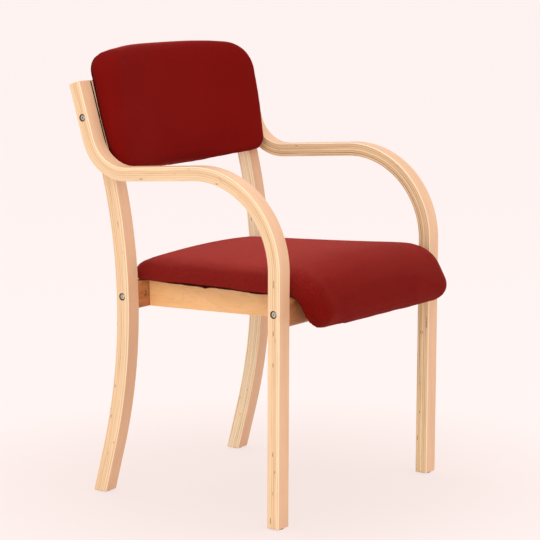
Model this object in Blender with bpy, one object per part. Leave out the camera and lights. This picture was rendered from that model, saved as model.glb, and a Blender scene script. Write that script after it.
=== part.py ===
# Armchair with a bent laminated ply frame and an upholstered seat and back.
# The sitter faces -Y, the floor is z = 0, and the middle of the chair is x = 0.

import bpy
import bmesh
import math
from mathutils import Matrix, Vector

for old in list(bpy.data.objects):
    bpy.data.objects.remove(old, do_unlink=True)

# Overall sizes and clearances
OVERALL_WIDTH = 0.550
GAP = 0.0003
ORIGIN_SHIFT = -0.0093
CUT_PAST = 0.002
BORE_ROOM = 0.001

# Arm and front leg lamination
ARM_WIDTH = 0.034
ARM_THICKNESS = 0.026
ARM_FOOT_Y = -0.1975
ARM_LEG_LEAN = math.radians(0.48)
ARM_LEG_STRAIGHT = 0.4697
ARM_FRONT_RADIUS = 0.1693
ARM_FALL = math.radians(4.03)
ARM_BACK_RADIUS = 0.0845
ARM_ABOVE_BOLT = 0.0657
EDGE_ROUND = 0.0022

# Rear leg and back post lamination
REAR_WIDTH = 0.033
REAR_THICKNESS = 0.029
REAR_FOOT_Y = 0.2406
REAR_FOOT_LEAN = math.radians(15.44)
REAR_FOOT_STRAIGHT = 0.0948
REAR_RADIUS = 1.038
REAR_ABOVE_BOLT = 0.0647
BACK_LEAN = math.radians(16.62)
POST_GAP = 0.0057
ARM_BEFORE_POST = 0.0038

# Seat rails
RAIL_HEIGHT = 0.052
RAIL_THICKNESS = 0.022
SIDE_RAIL_THICKNESS = 0.020
SIDE_RAIL_INSET = 0.0363
RAIL_ROUND = 0.0012
FRONT_RAIL_ROUND = 0.0030
DOWEL_DIAMETER = 0.008
DOWEL_SIDE_DEPTH = 0.018
DOWEL_COVER = 0.004
DOWEL_CHAMFER = 0.001
DOWEL_SPACING = 0.028

# Frame bolts, their nuts and the spacers beside the back posts
FRONT_BOLT_Z = 0.399
REAR_BOLT_Z = 0.390
UPPER_BOLT_Z = 0.7313
BOLT_DIAMETER = 0.006
BOLT_HEAD_DIAMETER = 0.013
BOLT_HEAD_HEIGHT = 0.0075
BOLT_HEAD_DEPTH = 0.0095
BOLT_HEAD_CLEAR = 0.0008
BOLT_CHAMFER = 0.0008
HEAD_CHAMFER = 0.0006
BOLT_PAST_NUT = 0.002
SOCKET_WIDTH = 0.005
SOCKET_DEPTH = 0.004
NUT_SETBACK = 0.0245
NUT_DIAMETER = 0.010
NUT_RECESS = 0.003
NUT_COVER = 0.003
NUT_CHAMFER = 0.0006
INSERT_DIAMETER = 0.012
INSERT_LENGTH = 0.016
SPACER_DIAMETER = 0.022

# Feet
GLIDE_DIAMETER = 0.022
GLIDE_THICKNESS = 0.0013
GLIDE_PIN_DIAMETER = 0.0045
GLIDE_PIN_LENGTH = 0.014
GLIDE_CHAMFER = 0.0005

# Upholstery shared by seat and back
COVER_THICKNESS = 0.0012
COVER_DRAW_IN = 0.0025
LINING_THICKNESS = 0.0008
LINING_MARGIN = 0.006
NET_REACH = 0.040

# Seat, with the length measured along the board from its rear edge
SEAT_REAR_OVERHANG = 0.0125
SEAT_BOARD = 0.010
SEAT_BEND_BEHIND = 0.0092
SEAT_BEND_RADIUS = 0.024
SEAT_BEND = math.radians(64.0)
SEAT_LIP = 0.0585
SEAT_REAR_CLEAR = 0.0146
SEAT_SIDE_CLEAR = 0.0070
SEAT_LIP_TAPER = 0.0175
SEAT_CORNER_REAR = 0.058
SEAT_CORNER_FRONT = 0.034
SEAT_PAD_REAR = 0.0292
SEAT_PAD_MIDDLE = 0.0300
SEAT_PAD_FRONT = 0.0338
SEAT_PAD_LIP = 0.0370
SEAT_PAD_EDGE = 0.0055
SEAT_PAD_ROUND = 0.0620
SEAT_CROWN_REAR = 0.0195
SEAT_CROWN_FRONT = 0.0072
SEAT_CROWN_REACH = 0.100
SEAT_FLANGE = 0.015
SEAT_SCREW_DIAMETER = 0.005
SEAT_SCREW_HEAD = 0.009
SEAT_SCREW_HEAD_HEIGHT = 0.0018
SEAT_SCREW_HEAD_CLEAR = 0.0006
SEAT_SCREW_LENGTH = 0.030
SEAT_SCREW_POINT = 0.004
SEAT_SCREW_BITE = 0.007
SEAT_SCREW_SPREAD = 0.110

# Back, with the length measured up the posts from the lower edge
BACK_ABOVE_BOLT = 0.0122
BACK_BOARD = 0.009
BACK_BELOW = 0.1258
BACK_ABOVE = 0.1191
BACK_TOP_CROWN = 0.0278
BACK_LOWER_BOW = 0.0031
BACK_BOTTOM_CLEAR = 0.0068
BACK_TOP_CLEAR = 0.0027
BACK_CORNER_TOP = 0.0387
BACK_CORNER_BOTTOM = 0.0285
BACK_FACE_CORNER_TOP = 0.070
BACK_FACE_CORNER_BOTTOM = 0.044
BACK_DISH = 0.033
BACK_DISH_CLEAR = 0.0143
BACK_FACE_DISH = 0.028
BACK_PAD = 0.0311
BACK_PAD_WEDGE = 0.0220
BACK_PAD_EDGE = 0.0050
BACK_PAD_ROUND = 0.0185
BACK_FLANGE = 0.011
BACK_BOLT_INSET = 0.0117
BACK_BOLT_LOW = -0.075
BACK_BOLT_HIGH = 0.028
BACK_BOLT_DIAMETER = 0.006
BACK_BOLT_HEAD = 0.010
BACK_BOLT_HEAD_HEIGHT = 0.005
BACK_BOLT_HEAD_DEPTH = 0.0065
BACK_BOLT_HEAD_CLEAR = 0.001
BACK_SOCKET_WIDTH = 0.004
BACK_SOCKET_DEPTH = 0.0025
TEE_FLANGE_DIAMETER = 0.014
TEE_FLANGE_THICKNESS = 0.0012
TEE_BARREL_DIAMETER = 0.009
TEE_COVER = 0.0015

SIDES = (("right", -1.0), ("left", 1.0))


# Materials
def make_material(name, colour, roughness, metallic=0.0):
    made = bpy.data.materials.new(name)
    made.use_nodes = True
    shader = made.node_tree.nodes["Principled BSDF"]
    shader.inputs["Base Color"].default_value = (*colour, 1.0)
    shader.inputs["Roughness"].default_value = roughness
    shader.inputs["Metallic"].default_value = metallic
    return made


BENT_PLY = make_material("bent_ply", (0.82, 0.55, 0.32), 0.42)
RAIL_WOOD = make_material("rail_wood", (0.70, 0.40, 0.17), 0.50)
BOARD_PLY = make_material("board_ply", (0.62, 0.42, 0.24), 0.65)
DOWEL_WOOD = make_material("dowel_wood", (0.72, 0.52, 0.32), 0.60)
RED_FABRIC = make_material("red_fabric", (0.20, 0.007, 0.006), 0.85)
FOAM = make_material("foam", (0.80, 0.74, 0.55), 0.95)
LINING = make_material("lining", (0.012, 0.012, 0.012), 0.90)
STEEL = make_material("steel", (0.55, 0.55, 0.54), 0.30, 1.0)
ZINC = make_material("zinc", (0.48, 0.47, 0.44), 0.45, 1.0)
DARK_PLASTIC = make_material("dark_plastic", (0.03, 0.03, 0.03), 0.60)


# Objects
def add_object(name, bm, material, parent=None):
    bmesh.ops.recalc_face_normals(bm, faces=bm.faces[:])
    mesh = bpy.data.meshes.new(name)
    bm.to_mesh(mesh)
    bm.free()
    if material is not None:
        mesh.materials.append(material)
    mesh.shade_smooth()
    mesh.set_sharp_from_angle(angle=math.radians(35))
    made = bpy.data.objects.new(name, mesh)
    bpy.context.scene.collection.objects.link(made)
    made.parent = parent
    return made


def add_copy(name, source, parent=None):
    made = bpy.data.objects.new(name, source.data)
    bpy.context.scene.collection.objects.link(made)
    made.parent = parent
    return made


def add_empty(name, location, turn_x):
    made = bpy.data.objects.new(name, None)
    bpy.context.scene.collection.objects.link(made)
    made.location = location
    made.rotation_euler = (turn_x, 0.0, 0.0)
    return made


def aim(obj, location, axis):
    obj.location = location
    obj.rotation_euler = Vector(axis).to_track_quat("Z", "Y").to_euler()


def round_edges(obj, width, segments):
    modifier = obj.modifiers.new("rounded_edges", "BEVEL")
    modifier.width = width
    modifier.segments = segments
    modifier.limit_method = "ANGLE"
    modifier.angle_limit = math.radians(40)


# Turned shapes: rings of (radius, height, hexagonal) from one end of the axis to the other
def ring_radius(radius, angle, hexagonal):
    if not hexagonal:
        return radius
    sector = math.radians(60)
    return radius / math.cos((angle % sector) - sector / 2)


def add_turned(bm, rings, steps, matrix=None, open_middle=False):
    matrix = matrix or Matrix.Identity(4)
    loops = []
    for ring in rings:
        radius, height = ring[0], ring[1]
        hexagonal = len(ring) > 2 and ring[2]
        if radius == 0.0:
            loops.append([bm.verts.new(matrix @ Vector((0.0, 0.0, height)))])
            continue
        loop = []
        for step in range(steps):
            angle = 2 * math.pi * step / steps
            reach = ring_radius(radius, angle, hexagonal)
            point = Vector((reach * math.cos(angle), reach * math.sin(angle), height))
            loop.append(bm.verts.new(matrix @ point))
        loops.append(loop)
    pairs = list(zip(loops, loops[1:]))
    if open_middle:
        pairs.append((loops[-1], loops[0]))
    for lower, upper in pairs:
        for step in range(steps):
            after = (step + 1) % steps
            if len(lower) == 1:
                bm.faces.new((lower[0], upper[after], upper[step]))
            elif len(upper) == 1:
                bm.faces.new((lower[step], lower[after], upper[0]))
            else:
                bm.faces.new((lower[step], lower[after], upper[after], upper[step]))


def turned_object(name, rings, steps, material, parent=None, open_middle=False):
    bm = bmesh.new()
    add_turned(bm, rings, steps, None, open_middle)
    return add_object(name, bm, material, parent)


def plain_rod(radius, start, end):
    return [(0.0, start), (radius, start), (radius, end), (0.0, end)]


def stepped_hole(wide, depth, narrow, length):
    # Counterbore from just outside the surface, then the narrower bore
    out = -CUT_PAST
    return [(0.0, out), (wide, out), (wide, depth), (narrow, depth), (narrow, length), (0.0, length)]


def axis_matrix(location, axis):
    turn = Vector(axis).to_track_quat("Z", "Y").to_matrix().to_4x4()
    return Matrix.Translation(Vector(location)) @ turn


def cut_holes(host, label, holes, steps=16):
    bm = bmesh.new()
    for rings, location, axis in holes:
        add_turned(bm, rings, steps, axis_matrix(location, axis))
    cutter = add_object(host.name + "_" + label, bm, None, host.parent)
    cutter.hide_render = True
    cutter.display_type = "WIRE"
    modifier = host.modifiers.new(label, "BOOLEAN")
    modifier.operation = "DIFFERENCE"
    modifier.solver = "EXACT"
    modifier.object = cutter


# Bent laminations, drawn in the side plane as (y, z, heading)
def walk(start, heading, moves):
    y, z = start
    path = [(y, z, heading)]
    for kind, size, turn, steps in moves:
        if kind == "line":
            y += size * math.cos(heading)
            z += size * math.sin(heading)
            path.append((y, z, heading))
            continue
        way = math.copysign(1.0, turn)
        middle_y = y - way * size * math.sin(heading)
        middle_z = z + way * size * math.cos(heading)
        first = heading
        for step in range(1, steps + 1):
            heading = first + turn * step / steps
            y = middle_y + way * size * math.sin(heading)
            z = middle_z - way * size * math.cos(heading)
            path.append((y, z, heading))
    return path


def finish_at(path, top):
    y, z, heading = path[-1]
    rest = (top - z) / math.sin(heading)
    path.append((y + rest * math.cos(heading), top, heading))
    return path


def end_line_at(path, height):
    # Where the last straight stretch, drawn on, passes this height
    y, z, heading = path[-1]
    return y + (height - z) / math.tan(heading)


def path_at_height(path, height):
    # The last place where the middle line passes this height
    found = None
    for first, second in zip(path, path[1:]):
        low, high = sorted((first[1], second[1]))
        if low <= height <= high and high > low:
            share = (height - first[1]) / (second[1] - first[1])
            y = first[0] + share * (second[0] - first[0])
            heading = first[2] + share * (second[2] - first[2])
            found = (y, heading)
    return found


def lamination(name, path, width, thickness, material):
    bm = bmesh.new()
    rings = []
    for index, (y, z, heading) in enumerate(path):
        across = (-math.sin(heading), math.cos(heading))
        half = thickness / 2
        if index == 0:
            # The foot is sawn level
            across = (-1.0, 0.0)
            half = half / math.sin(heading)
        near = (y + half * across[0], z + half * across[1])
        far = (y - half * across[0], z - half * across[1])
        ring = [
            bm.verts.new((-width / 2, near[0], near[1])),
            bm.verts.new((width / 2, near[0], near[1])),
            bm.verts.new((width / 2, far[0], far[1])),
            bm.verts.new((-width / 2, far[0], far[1])),
        ]
        rings.append(ring)
    for lower, upper in zip(rings, rings[1:]):
        for corner in range(4):
            after = (corner + 1) % 4
            bm.faces.new((lower[corner], lower[after], upper[after], upper[corner]))
    bm.faces.new(rings[0])
    bm.faces.new(rings[-1])
    return add_object(name, bm, material)


def box(name, size, material, parent):
    bm = bmesh.new()
    bmesh.ops.create_cube(bm, size=1.0)
    bmesh.ops.scale(bm, vec=size, verts=bm.verts[:])
    return add_object(name, bm, material, parent)


# Side frames
rear_path = walk(
    (REAR_FOOT_Y + ORIGIN_SHIFT, GLIDE_THICKNESS + GAP),
    math.pi / 2 + REAR_FOOT_LEAN,
    (
        ("line", REAR_FOOT_STRAIGHT, 0.0, 0),
        ("arc", REAR_RADIUS, -(REAR_FOOT_LEAN + BACK_LEAN), 9),
    ),
)
rear_path = finish_at(rear_path, UPPER_BOLT_Z + REAR_ABOVE_BOLT)


def bent_arm(straight):
    return walk(
        (ARM_FOOT_Y + ORIGIN_SHIFT, GLIDE_THICKNESS + GAP),
        math.pi / 2 + ARM_LEG_LEAN,
        (
            ("line", ARM_LEG_STRAIGHT, 0.0, 0),
            ("arc", ARM_FRONT_RADIUS, -(math.pi / 2 + ARM_LEG_LEAN + ARM_FALL), 14),
            ("line", straight, 0.0, 0),
            ("arc", ARM_BACK_RADIUS, math.pi / 2 - BACK_LEAN + ARM_FALL, 10),
        ),
    )


# The straight of the arm is as long as brings its upturned end beside the post
upper_bolt_y = path_at_height(rear_path, UPPER_BOLT_Z)[0] - ARM_BEFORE_POST
arm_short = upper_bolt_y - end_line_at(bent_arm(0.0), UPPER_BOLT_Z)
arm_straight = arm_short / (math.cos(ARM_FALL) + math.sin(ARM_FALL) * math.tan(BACK_LEAN))
arm_path = finish_at(bent_arm(arm_straight), UPPER_BOLT_Z + ARM_ABOVE_BOLT)

arm_outer = OVERALL_WIDTH / 2
arm_inner = arm_outer - ARM_WIDTH
rear_outer = arm_inner - POST_GAP
rear_inner = rear_outer - REAR_WIDTH

front_bolt_y = arm_path[0][0] - (FRONT_BOLT_Z - arm_path[0][1]) * math.tan(ARM_LEG_LEAN)
rear_bolt_y = path_at_height(rear_path, REAR_BOLT_Z)[0]

seat_run = math.hypot(rear_bolt_y - front_bolt_y, FRONT_BOLT_Z - REAR_BOLT_Z)
seat_tilt = math.atan2(FRONT_BOLT_Z - REAR_BOLT_Z, rear_bolt_y - front_bolt_y)
seat_middle = (0.0, (front_bolt_y + rear_bolt_y) / 2, (FRONT_BOLT_Z + REAR_BOLT_Z) / 2)
seat_frame = add_empty("seat_frame", seat_middle, -seat_tilt)

back_middle_z = UPPER_BOLT_Z + BACK_ABOVE_BOLT
post_y, post_heading = path_at_height(rear_path, back_middle_z)
back_middle = (
    0.0,
    post_y - REAR_THICKNESS / 2 * math.sin(post_heading),
    back_middle_z + REAR_THICKNESS / 2 * math.cos(post_heading),
)
back_frame = add_empty("back_frame", back_middle, -BACK_LEAN)
back_up = Vector((0.0, math.sin(BACK_LEAN), math.cos(BACK_LEAN)))
back_in = Vector((0.0, math.cos(BACK_LEAN), -math.sin(BACK_LEAN)))

bolt_hole = BOLT_DIAMETER / 2 + GAP
pin_hole = GLIDE_PIN_DIAMETER / 2 + GAP
head_hole = BOLT_HEAD_DIAMETER / 2 + BOLT_HEAD_CLEAR
back_bolt_x = rear_inner + BACK_BOLT_INSET
arm_objects = {}
rear_objects = {}
for side, way in SIDES:
    arm = lamination("arm_leg_" + side, arm_path, ARM_WIDTH, ARM_THICKNESS, BENT_PLY)
    arm.location.x = way * (arm_outer - ARM_WIDTH / 2)
    round_edges(arm, EDGE_ROUND, 2)
    inward = (-way, 0.0, 0.0)
    bolt_bore = stepped_hole(head_hole, BOLT_HEAD_DEPTH, bolt_hole, ARM_WIDTH + CUT_PAST)
    pin_bore = plain_rod(pin_hole, -CUT_PAST, GLIDE_PIN_LENGTH + BORE_ROOM)
    cut_holes(arm, "bores", (
        (bolt_bore, (way * arm_outer, front_bolt_y, FRONT_BOLT_Z), inward),
        (bolt_bore, (way * arm_outer, upper_bolt_y, UPPER_BOLT_Z), inward),
        (pin_bore, (way * (arm_outer - ARM_WIDTH / 2), arm_path[0][0], arm_path[0][1]), (0, 0, 1)),
    ))
    arm_objects[side] = arm

    rear = lamination("rear_leg_" + side, rear_path, REAR_WIDTH, REAR_THICKNESS, BENT_PLY)
    rear.location.x = way * (rear_outer - REAR_WIDTH / 2)
    round_edges(rear, EDGE_ROUND, 2)
    bolt_bore = stepped_hole(head_hole, BOLT_HEAD_DEPTH, bolt_hole, REAR_WIDTH + CUT_PAST)
    insert_bore = plain_rod(INSERT_DIAMETER / 2 + GAP, -CUT_PAST, INSERT_LENGTH + 2 * GAP)
    back_bore = stepped_hole(
        BACK_BOLT_HEAD / 2 + BACK_BOLT_HEAD_CLEAR,
        BACK_BOLT_HEAD_DEPTH,
        BACK_BOLT_DIAMETER / 2 + GAP,
        REAR_THICKNESS + CUT_PAST,
    )
    back_holes = []
    for reach in (BACK_BOLT_LOW, BACK_BOLT_HIGH):
        spot = Vector(back_middle) + back_up * reach + back_in * REAR_THICKNESS
        spot.x = way * back_bolt_x
        back_holes.append((back_bore, spot, -back_in))
    cut_holes(rear, "bores", [
        (bolt_bore, (way * rear_outer, rear_bolt_y, REAR_BOLT_Z), inward),
        (insert_bore, (way * rear_outer, upper_bolt_y, UPPER_BOLT_Z), inward),
        (pin_bore, (way * (rear_outer - REAR_WIDTH / 2), rear_path[0][0], rear_path[0][1]), (0, 0, 1)),
    ] + back_holes)
    rear_objects[side] = rear

# Seat rails, in the tilted frame of the seat
front_half = arm_inner - GAP
rear_half = rear_inner - GAP
front_rail = box("front_rail", (2 * front_half, RAIL_THICKNESS, RAIL_HEIGHT), RAIL_WOOD, seat_frame)
front_rail.location.y = -seat_run / 2
rear_rail = box("rear_rail", (2 * rear_half, RAIL_THICKNESS, RAIL_HEIGHT), RAIL_WOOD, seat_frame)
rear_rail.location.y = seat_run / 2
side_length = seat_run - RAIL_THICKNESS - 2 * GAP
side_middle = rear_inner - SIDE_RAIL_INSET - SIDE_RAIL_THICKNESS / 2
front_face = -seat_run / 2 + RAIL_THICKNESS / 2
rear_face = seat_run / 2 - RAIL_THICKNESS / 2

dowel_hole = DOWEL_DIAMETER / 2 + GAP
dowel_depth = RAIL_THICKNESS - DOWEL_COVER
rail_dowel_bore = plain_rod(dowel_hole, -CUT_PAST, dowel_depth + BORE_ROOM)
side_dowel_bore = plain_rod(dowel_hole, -CUT_PAST, DOWEL_SIDE_DEPTH + BORE_ROOM)
nut_length = RAIL_THICKNESS - NUT_RECESS - NUT_COVER
nut_bore = plain_rod(NUT_DIAMETER / 2 + GAP, -CUT_PAST, NUT_RECESS + nut_length + GAP)
for rail, half, face, into, edge in (
    (front_rail, front_half, front_face, -1.0, FRONT_RAIL_ROUND),
    (rear_rail, rear_half, rear_face, 1.0, RAIL_ROUND),
):
    round_edges(rail, edge, 1)
    middle = rail.location.y
    bolt_bore = plain_rod(bolt_hole, -CUT_PAST, NUT_SETBACK + NUT_DIAMETER)
    across = []
    for way in (-1.0, 1.0):
        across.append((bolt_bore, (way * half, middle, 0.0), (-way, 0.0, 0.0)))
        for lift in (-DOWEL_SPACING / 2, DOWEL_SPACING / 2):
            across.append((rail_dowel_bore, (way * side_middle, face, lift), (0.0, into, 0.0)))
    cut_holes(rail, "bores", across)
    nuts = []
    for way in (-1.0, 1.0):
        nuts.append((nut_bore, (way * (half - NUT_SETBACK), face, 0.0), (0.0, into, 0.0)))
    cut_holes(rail, "nut_bores", nuts)

lining_lower = RAIL_HEIGHT / 2 + GAP
board_lower = lining_lower + LINING_THICKNESS + GAP + COVER_THICKNESS + GAP
board_upper = board_lower + SEAT_BOARD
screw_head_z = board_lower + SEAT_SCREW_BITE - SEAT_SCREW_LENGTH
screw_head_hole = SEAT_SCREW_HEAD / 2 + SEAT_SCREW_HEAD_CLEAR
screw_hole = SEAT_SCREW_DIAMETER / 2 + GAP
screw_bore = [
    (0.0, -RAIL_HEIGHT),
    (screw_head_hole, -RAIL_HEIGHT),
    (screw_head_hole, screw_head_z - GAP),
    (screw_hole, screw_head_z - GAP),
    (screw_hole, board_lower + SEAT_SCREW_BITE + GAP),
    (0.0, board_lower + SEAT_SCREW_BITE + GAP),
]
screw_spots = []
for side, way in SIDES:
    side_rail = box("side_rail_" + side, (SIDE_RAIL_THICKNESS, side_length, RAIL_HEIGHT), RAIL_WOOD, seat_frame)
    side_rail.location.x = way * side_middle
    round_edges(side_rail, RAIL_ROUND, 1)
    holes = []
    for face, into in ((front_face, 1.0), (rear_face, -1.0)):
        for lift in (-DOWEL_SPACING / 2, DOWEL_SPACING / 2):
            holes.append((side_dowel_bore, (way * side_middle, face, lift), (0.0, into, 0.0)))
    for forward in (-SEAT_SCREW_SPREAD, SEAT_SCREW_SPREAD):
        spot = (way * side_middle, forward, 0.0)
        screw_spots.append(spot)
        holes.append((screw_bore, spot, (0.0, 0.0, 1.0)))
    cut_holes(side_rail, "bores", holes, 12)

dowel_rings = [
    (0.0, -DOWEL_SIDE_DEPTH),
    (DOWEL_DIAMETER / 2 - DOWEL_CHAMFER, -DOWEL_SIDE_DEPTH),
    (DOWEL_DIAMETER / 2, -DOWEL_SIDE_DEPTH + DOWEL_CHAMFER),
    (DOWEL_DIAMETER / 2, dowel_depth - DOWEL_CHAMFER),
    (DOWEL_DIAMETER / 2 - DOWEL_CHAMFER, dowel_depth),
    (0.0, dowel_depth),
]
dowel_source = None
for side, way in SIDES:
    for end, face, into in (("front", front_face, -1.0), ("rear", rear_face, 1.0)):
        for level, lift in (("lower", -DOWEL_SPACING / 2), ("upper", DOWEL_SPACING / 2)):
            name = "dowel_" + end + "_" + level + "_" + side
            if dowel_source is None:
                dowel = turned_object(name, dowel_rings, 12, DOWEL_WOOD, seat_frame)
                dowel_source = dowel
            else:
                dowel = add_copy(name, dowel_source, seat_frame)
            aim(dowel, (way * side_middle, face, lift), (0.0, into, 0.0))


# Frame bolts, drawn from the tip to the top of the head
def bolt_rings(length, diameter, head, height, socket, depth):
    return [
        (0.0, 0.0),
        (diameter / 2 - BOLT_CHAMFER, 0.0),
        (diameter / 2, BOLT_CHAMFER),
        (diameter / 2, length),
        (head / 2, length),
        (head / 2, length + height - HEAD_CHAMFER),
        (head / 2 - HEAD_CHAMFER, length + height),
        (socket / 2, length + height, True),
        (socket / 2, length + height - depth, True),
        (0.0, length + height - depth),
    ]


bolt_seat = BOLT_HEAD_DEPTH - GAP
nut_reach = NUT_SETBACK + NUT_DIAMETER / 2 + BOLT_PAST_NUT
front_tip = arm_inner - nut_reach
rear_tip = rear_inner - nut_reach
upper_tip = rear_outer - INSERT_LENGTH + BORE_ROOM
for label, outer, tip, y, z in (
    ("front", arm_outer, front_tip, front_bolt_y, FRONT_BOLT_Z),
    ("rear", rear_outer, rear_tip, rear_bolt_y, REAR_BOLT_Z),
    ("upper", arm_outer, upper_tip, upper_bolt_y, UPPER_BOLT_Z),
):
    length = outer - bolt_seat - tip
    rings = bolt_rings(length, BOLT_DIAMETER, BOLT_HEAD_DIAMETER, BOLT_HEAD_HEIGHT, SOCKET_WIDTH, SOCKET_DEPTH)
    source = None
    for side, way in SIDES:
        if source is None:
            bolt = turned_object(label + "_bolt_" + side, rings, 12, STEEL)
            source = bolt
        else:
            bolt = add_copy(label + "_bolt_" + side, source)
        aim(bolt, (way * tip, y, z), (way, 0.0, 0.0))

# Barrel nuts across the ends of the front and rear rails
nut_rings = [
    (0.0, 0.0),
    (NUT_DIAMETER / 2 - NUT_CHAMFER, 0.0),
    (NUT_DIAMETER / 2, NUT_CHAMFER),
    (NUT_DIAMETER / 2, nut_length - NUT_CHAMFER),
    (NUT_DIAMETER / 2 - NUT_CHAMFER, nut_length),
    (0.0, nut_length),
]
for end, half, face, into in (
    ("front", front_half, front_face, -1.0),
    ("rear", rear_half, rear_face, 1.0),
):
    for side, way in SIDES:
        nut = turned_object("barrel_nut_" + end + "_" + side, nut_rings, 16, ZINC, seat_frame)
        spot = Vector((way * (half - NUT_SETBACK), face + into * NUT_RECESS, 0.0))
        aim(nut, spot, (0.0, into, 0.0))
        thread = plain_rod(bolt_hole, -NUT_DIAMETER, NUT_DIAMETER)
        bolt_line = (spot.x, math.copysign(seat_run / 2, into), 0.0)
        cut_holes(nut, "thread", ((thread, bolt_line, (1.0, 0.0, 0.0)),), 12)

# Threaded inserts in the back posts, and the spacers between post and arm
insert_rings = [
    (bolt_hole, 0.0),
    (INSERT_DIAMETER / 2, 0.0),
    (INSERT_DIAMETER / 2, INSERT_LENGTH),
    (bolt_hole, INSERT_LENGTH),
]
spacer_length = POST_GAP - 2 * GAP
spacer_rings = [
    (bolt_hole, 0.0),
    (SPACER_DIAMETER / 2, 0.0),
    (SPACER_DIAMETER / 2, spacer_length),
    (bolt_hole, spacer_length),
]
for side, way in SIDES:
    insert = turned_object("post_insert_" + side, insert_rings, 16, ZINC, None, True)
    aim(insert, (way * (rear_outer - GAP), upper_bolt_y, UPPER_BOLT_Z), (-way, 0.0, 0.0))
    spacer = turned_object("arm_spacer_" + side, spacer_rings, 20, DARK_PLASTIC, None, True)
    aim(spacer, (way * (rear_outer + GAP), upper_bolt_y, UPPER_BOLT_Z), (way, 0.0, 0.0))

# Glides pressed into the feet
glide_rings = [
    (0.0, 0.0),
    (GLIDE_DIAMETER / 2 - GLIDE_CHAMFER, 0.0),
    (GLIDE_DIAMETER / 2, GLIDE_CHAMFER),
    (GLIDE_DIAMETER / 2, GLIDE_THICKNESS),
    (GLIDE_PIN_DIAMETER / 2, GLIDE_THICKNESS),
    (GLIDE_PIN_DIAMETER / 2, GLIDE_THICKNESS + GLIDE_PIN_LENGTH),
    (0.0, GLIDE_THICKNESS + GLIDE_PIN_LENGTH),
]
glide_source = None
for end, reach, y in (
    ("front", arm_outer - ARM_WIDTH / 2, arm_path[0][0]),
    ("rear", rear_outer - REAR_WIDTH / 2, rear_path[0][0]),
):
    for side, way in SIDES:
        name = "glide_" + end + "_" + side
        if glide_source is None:
            glide = turned_object(name, glide_rings, 16, DARK_PLASTIC)
            glide_source = glide
        else:
            glide = add_copy(name, glide_source)
        glide.location = (way * reach, y, 0.0)

# Seat screws, driven up through the side rails into the board
screw_rings = [
    (0.0, 0.0),
    (SEAT_SCREW_HEAD / 2, 0.0),
    (SEAT_SCREW_HEAD / 2, SEAT_SCREW_HEAD_HEIGHT),
    (SEAT_SCREW_DIAMETER / 2, SEAT_SCREW_HEAD_HEIGHT),
    (SEAT_SCREW_DIAMETER / 2, SEAT_SCREW_LENGTH - SEAT_SCREW_POINT),
    (0.0, SEAT_SCREW_LENGTH),
]
screw_source = None
for index, spot in enumerate(screw_spots):
    name = "seat_screw_" + str(index + 1)
    if screw_source is None:
        screw = turned_object(name, screw_rings, 12, ZINC, seat_frame)
        screw_source = screw
    else:
        screw = add_copy(name, screw_source, seat_frame)
    screw.location = (spot[0], spot[1], screw_head_z - SEAT_SCREW_HEAD_HEIGHT - 2 * GAP)


# Padded pieces: a net of (length, sideways, distance from the padded face's rim) over a rounded outline

def smooth(value):
    value = min(max(value, 0.0), 1.0)
    return value * value * (3 - 2 * value)


def corner_cut(radius, distance):
    if distance >= radius:
        return 0.0
    return radius - math.sqrt(max(radius * radius - (radius - distance) ** 2, 0.0))


def rim_distance(outline, s, t):
    length, half_width, corner_first, corner_last = outline
    from_side = half_width(s) - abs(t)
    rim = min(s, length - s, from_side)
    for radius, distance in ((corner_first, s), (corner_last, length - s)):
        if distance < radius and from_side < radius:
            rim = radius - math.hypot(radius - distance, radius - from_side)
    return rim


def rim_inward(outline, s, t):
    step = 0.00001
    along = rim_distance(outline, s + step, t) - rim_distance(outline, s - step, t)
    across = rim_distance(outline, s, t + step) - rim_distance(outline, s, t - step)
    return Vector((along, across)).normalized()


def pad_net(outline, face, rows, rim_shares, inner_places, inset):
    length, half_width, corner_first, corner_last = outline
    net = []
    for place in rows:
        cut = corner_cut(corner_first, place) + corner_cut(corner_last, length - place)
        reach = half_width(place) - cut
        right = [reach + (inner_places[0] - reach) * share for share in rim_shares] + list(inner_places)
        sideways = [-across for across in right] + list(reversed(right[:-1]))
        row = []
        for across in sideways:
            rim = max(rim_distance(outline, place, across), 0.0)
            shift = inset * max(1 - rim / NET_REACH, 0.0)
            inward = rim_inward(outline, place, across)
            from_face_rim = max(rim_distance(face, place, across), 0.0)
            row.append((place + shift * inward.x, across + shift * inward.y, from_face_rim))
        net.append(row)
    return net


def rim_of(net):
    loop = list(net[0])
    loop += [row[-1] for row in net[1:-1]]
    loop += list(reversed(net[-1]))
    loop += [row[0] for row in reversed(net[1:-1])]
    return loop


def net_verts(bm, net, place, height):
    return [[bm.verts.new(place(s, t, height(s, t, e))) for s, t, e in row] for row in net]


def net_faces(bm, verts):
    # Each quad is split the way the nearest rounded corner runs
    half_rows = (len(verts) - 1) / 2
    half_columns = (len(verts[0]) - 1) / 2
    for row, (lower, upper) in enumerate(zip(verts, verts[1:])):
        for index in range(len(lower) - 1):
            quad = [lower[index], lower[index + 1], upper[index + 1], upper[index]]
            if (row < half_rows) == (index < half_columns):
                quad = quad[1:] + quad[:1]
            bm.faces.new((quad[0], quad[1], quad[2]))
            bm.faces.new((quad[0], quad[2], quad[3]))


def strip_faces(bm, first, second):
    count = len(first)
    for index in range(count):
        after = (index + 1) % count
        bm.faces.new((first[index], first[after], second[after]))
        bm.faces.new((first[index], second[after], second[index]))


def slab(name, upper_net, upper_height, lower_net, lower_height, place, material, parent):
    bm = bmesh.new()
    upper = net_verts(bm, upper_net, place, upper_height)
    lower = net_verts(bm, lower_net, place, lower_height)
    net_faces(bm, upper)
    net_faces(bm, lower)
    strip_faces(bm, rim_of(upper), rim_of(lower))
    return add_object(name, bm, material, parent)


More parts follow.
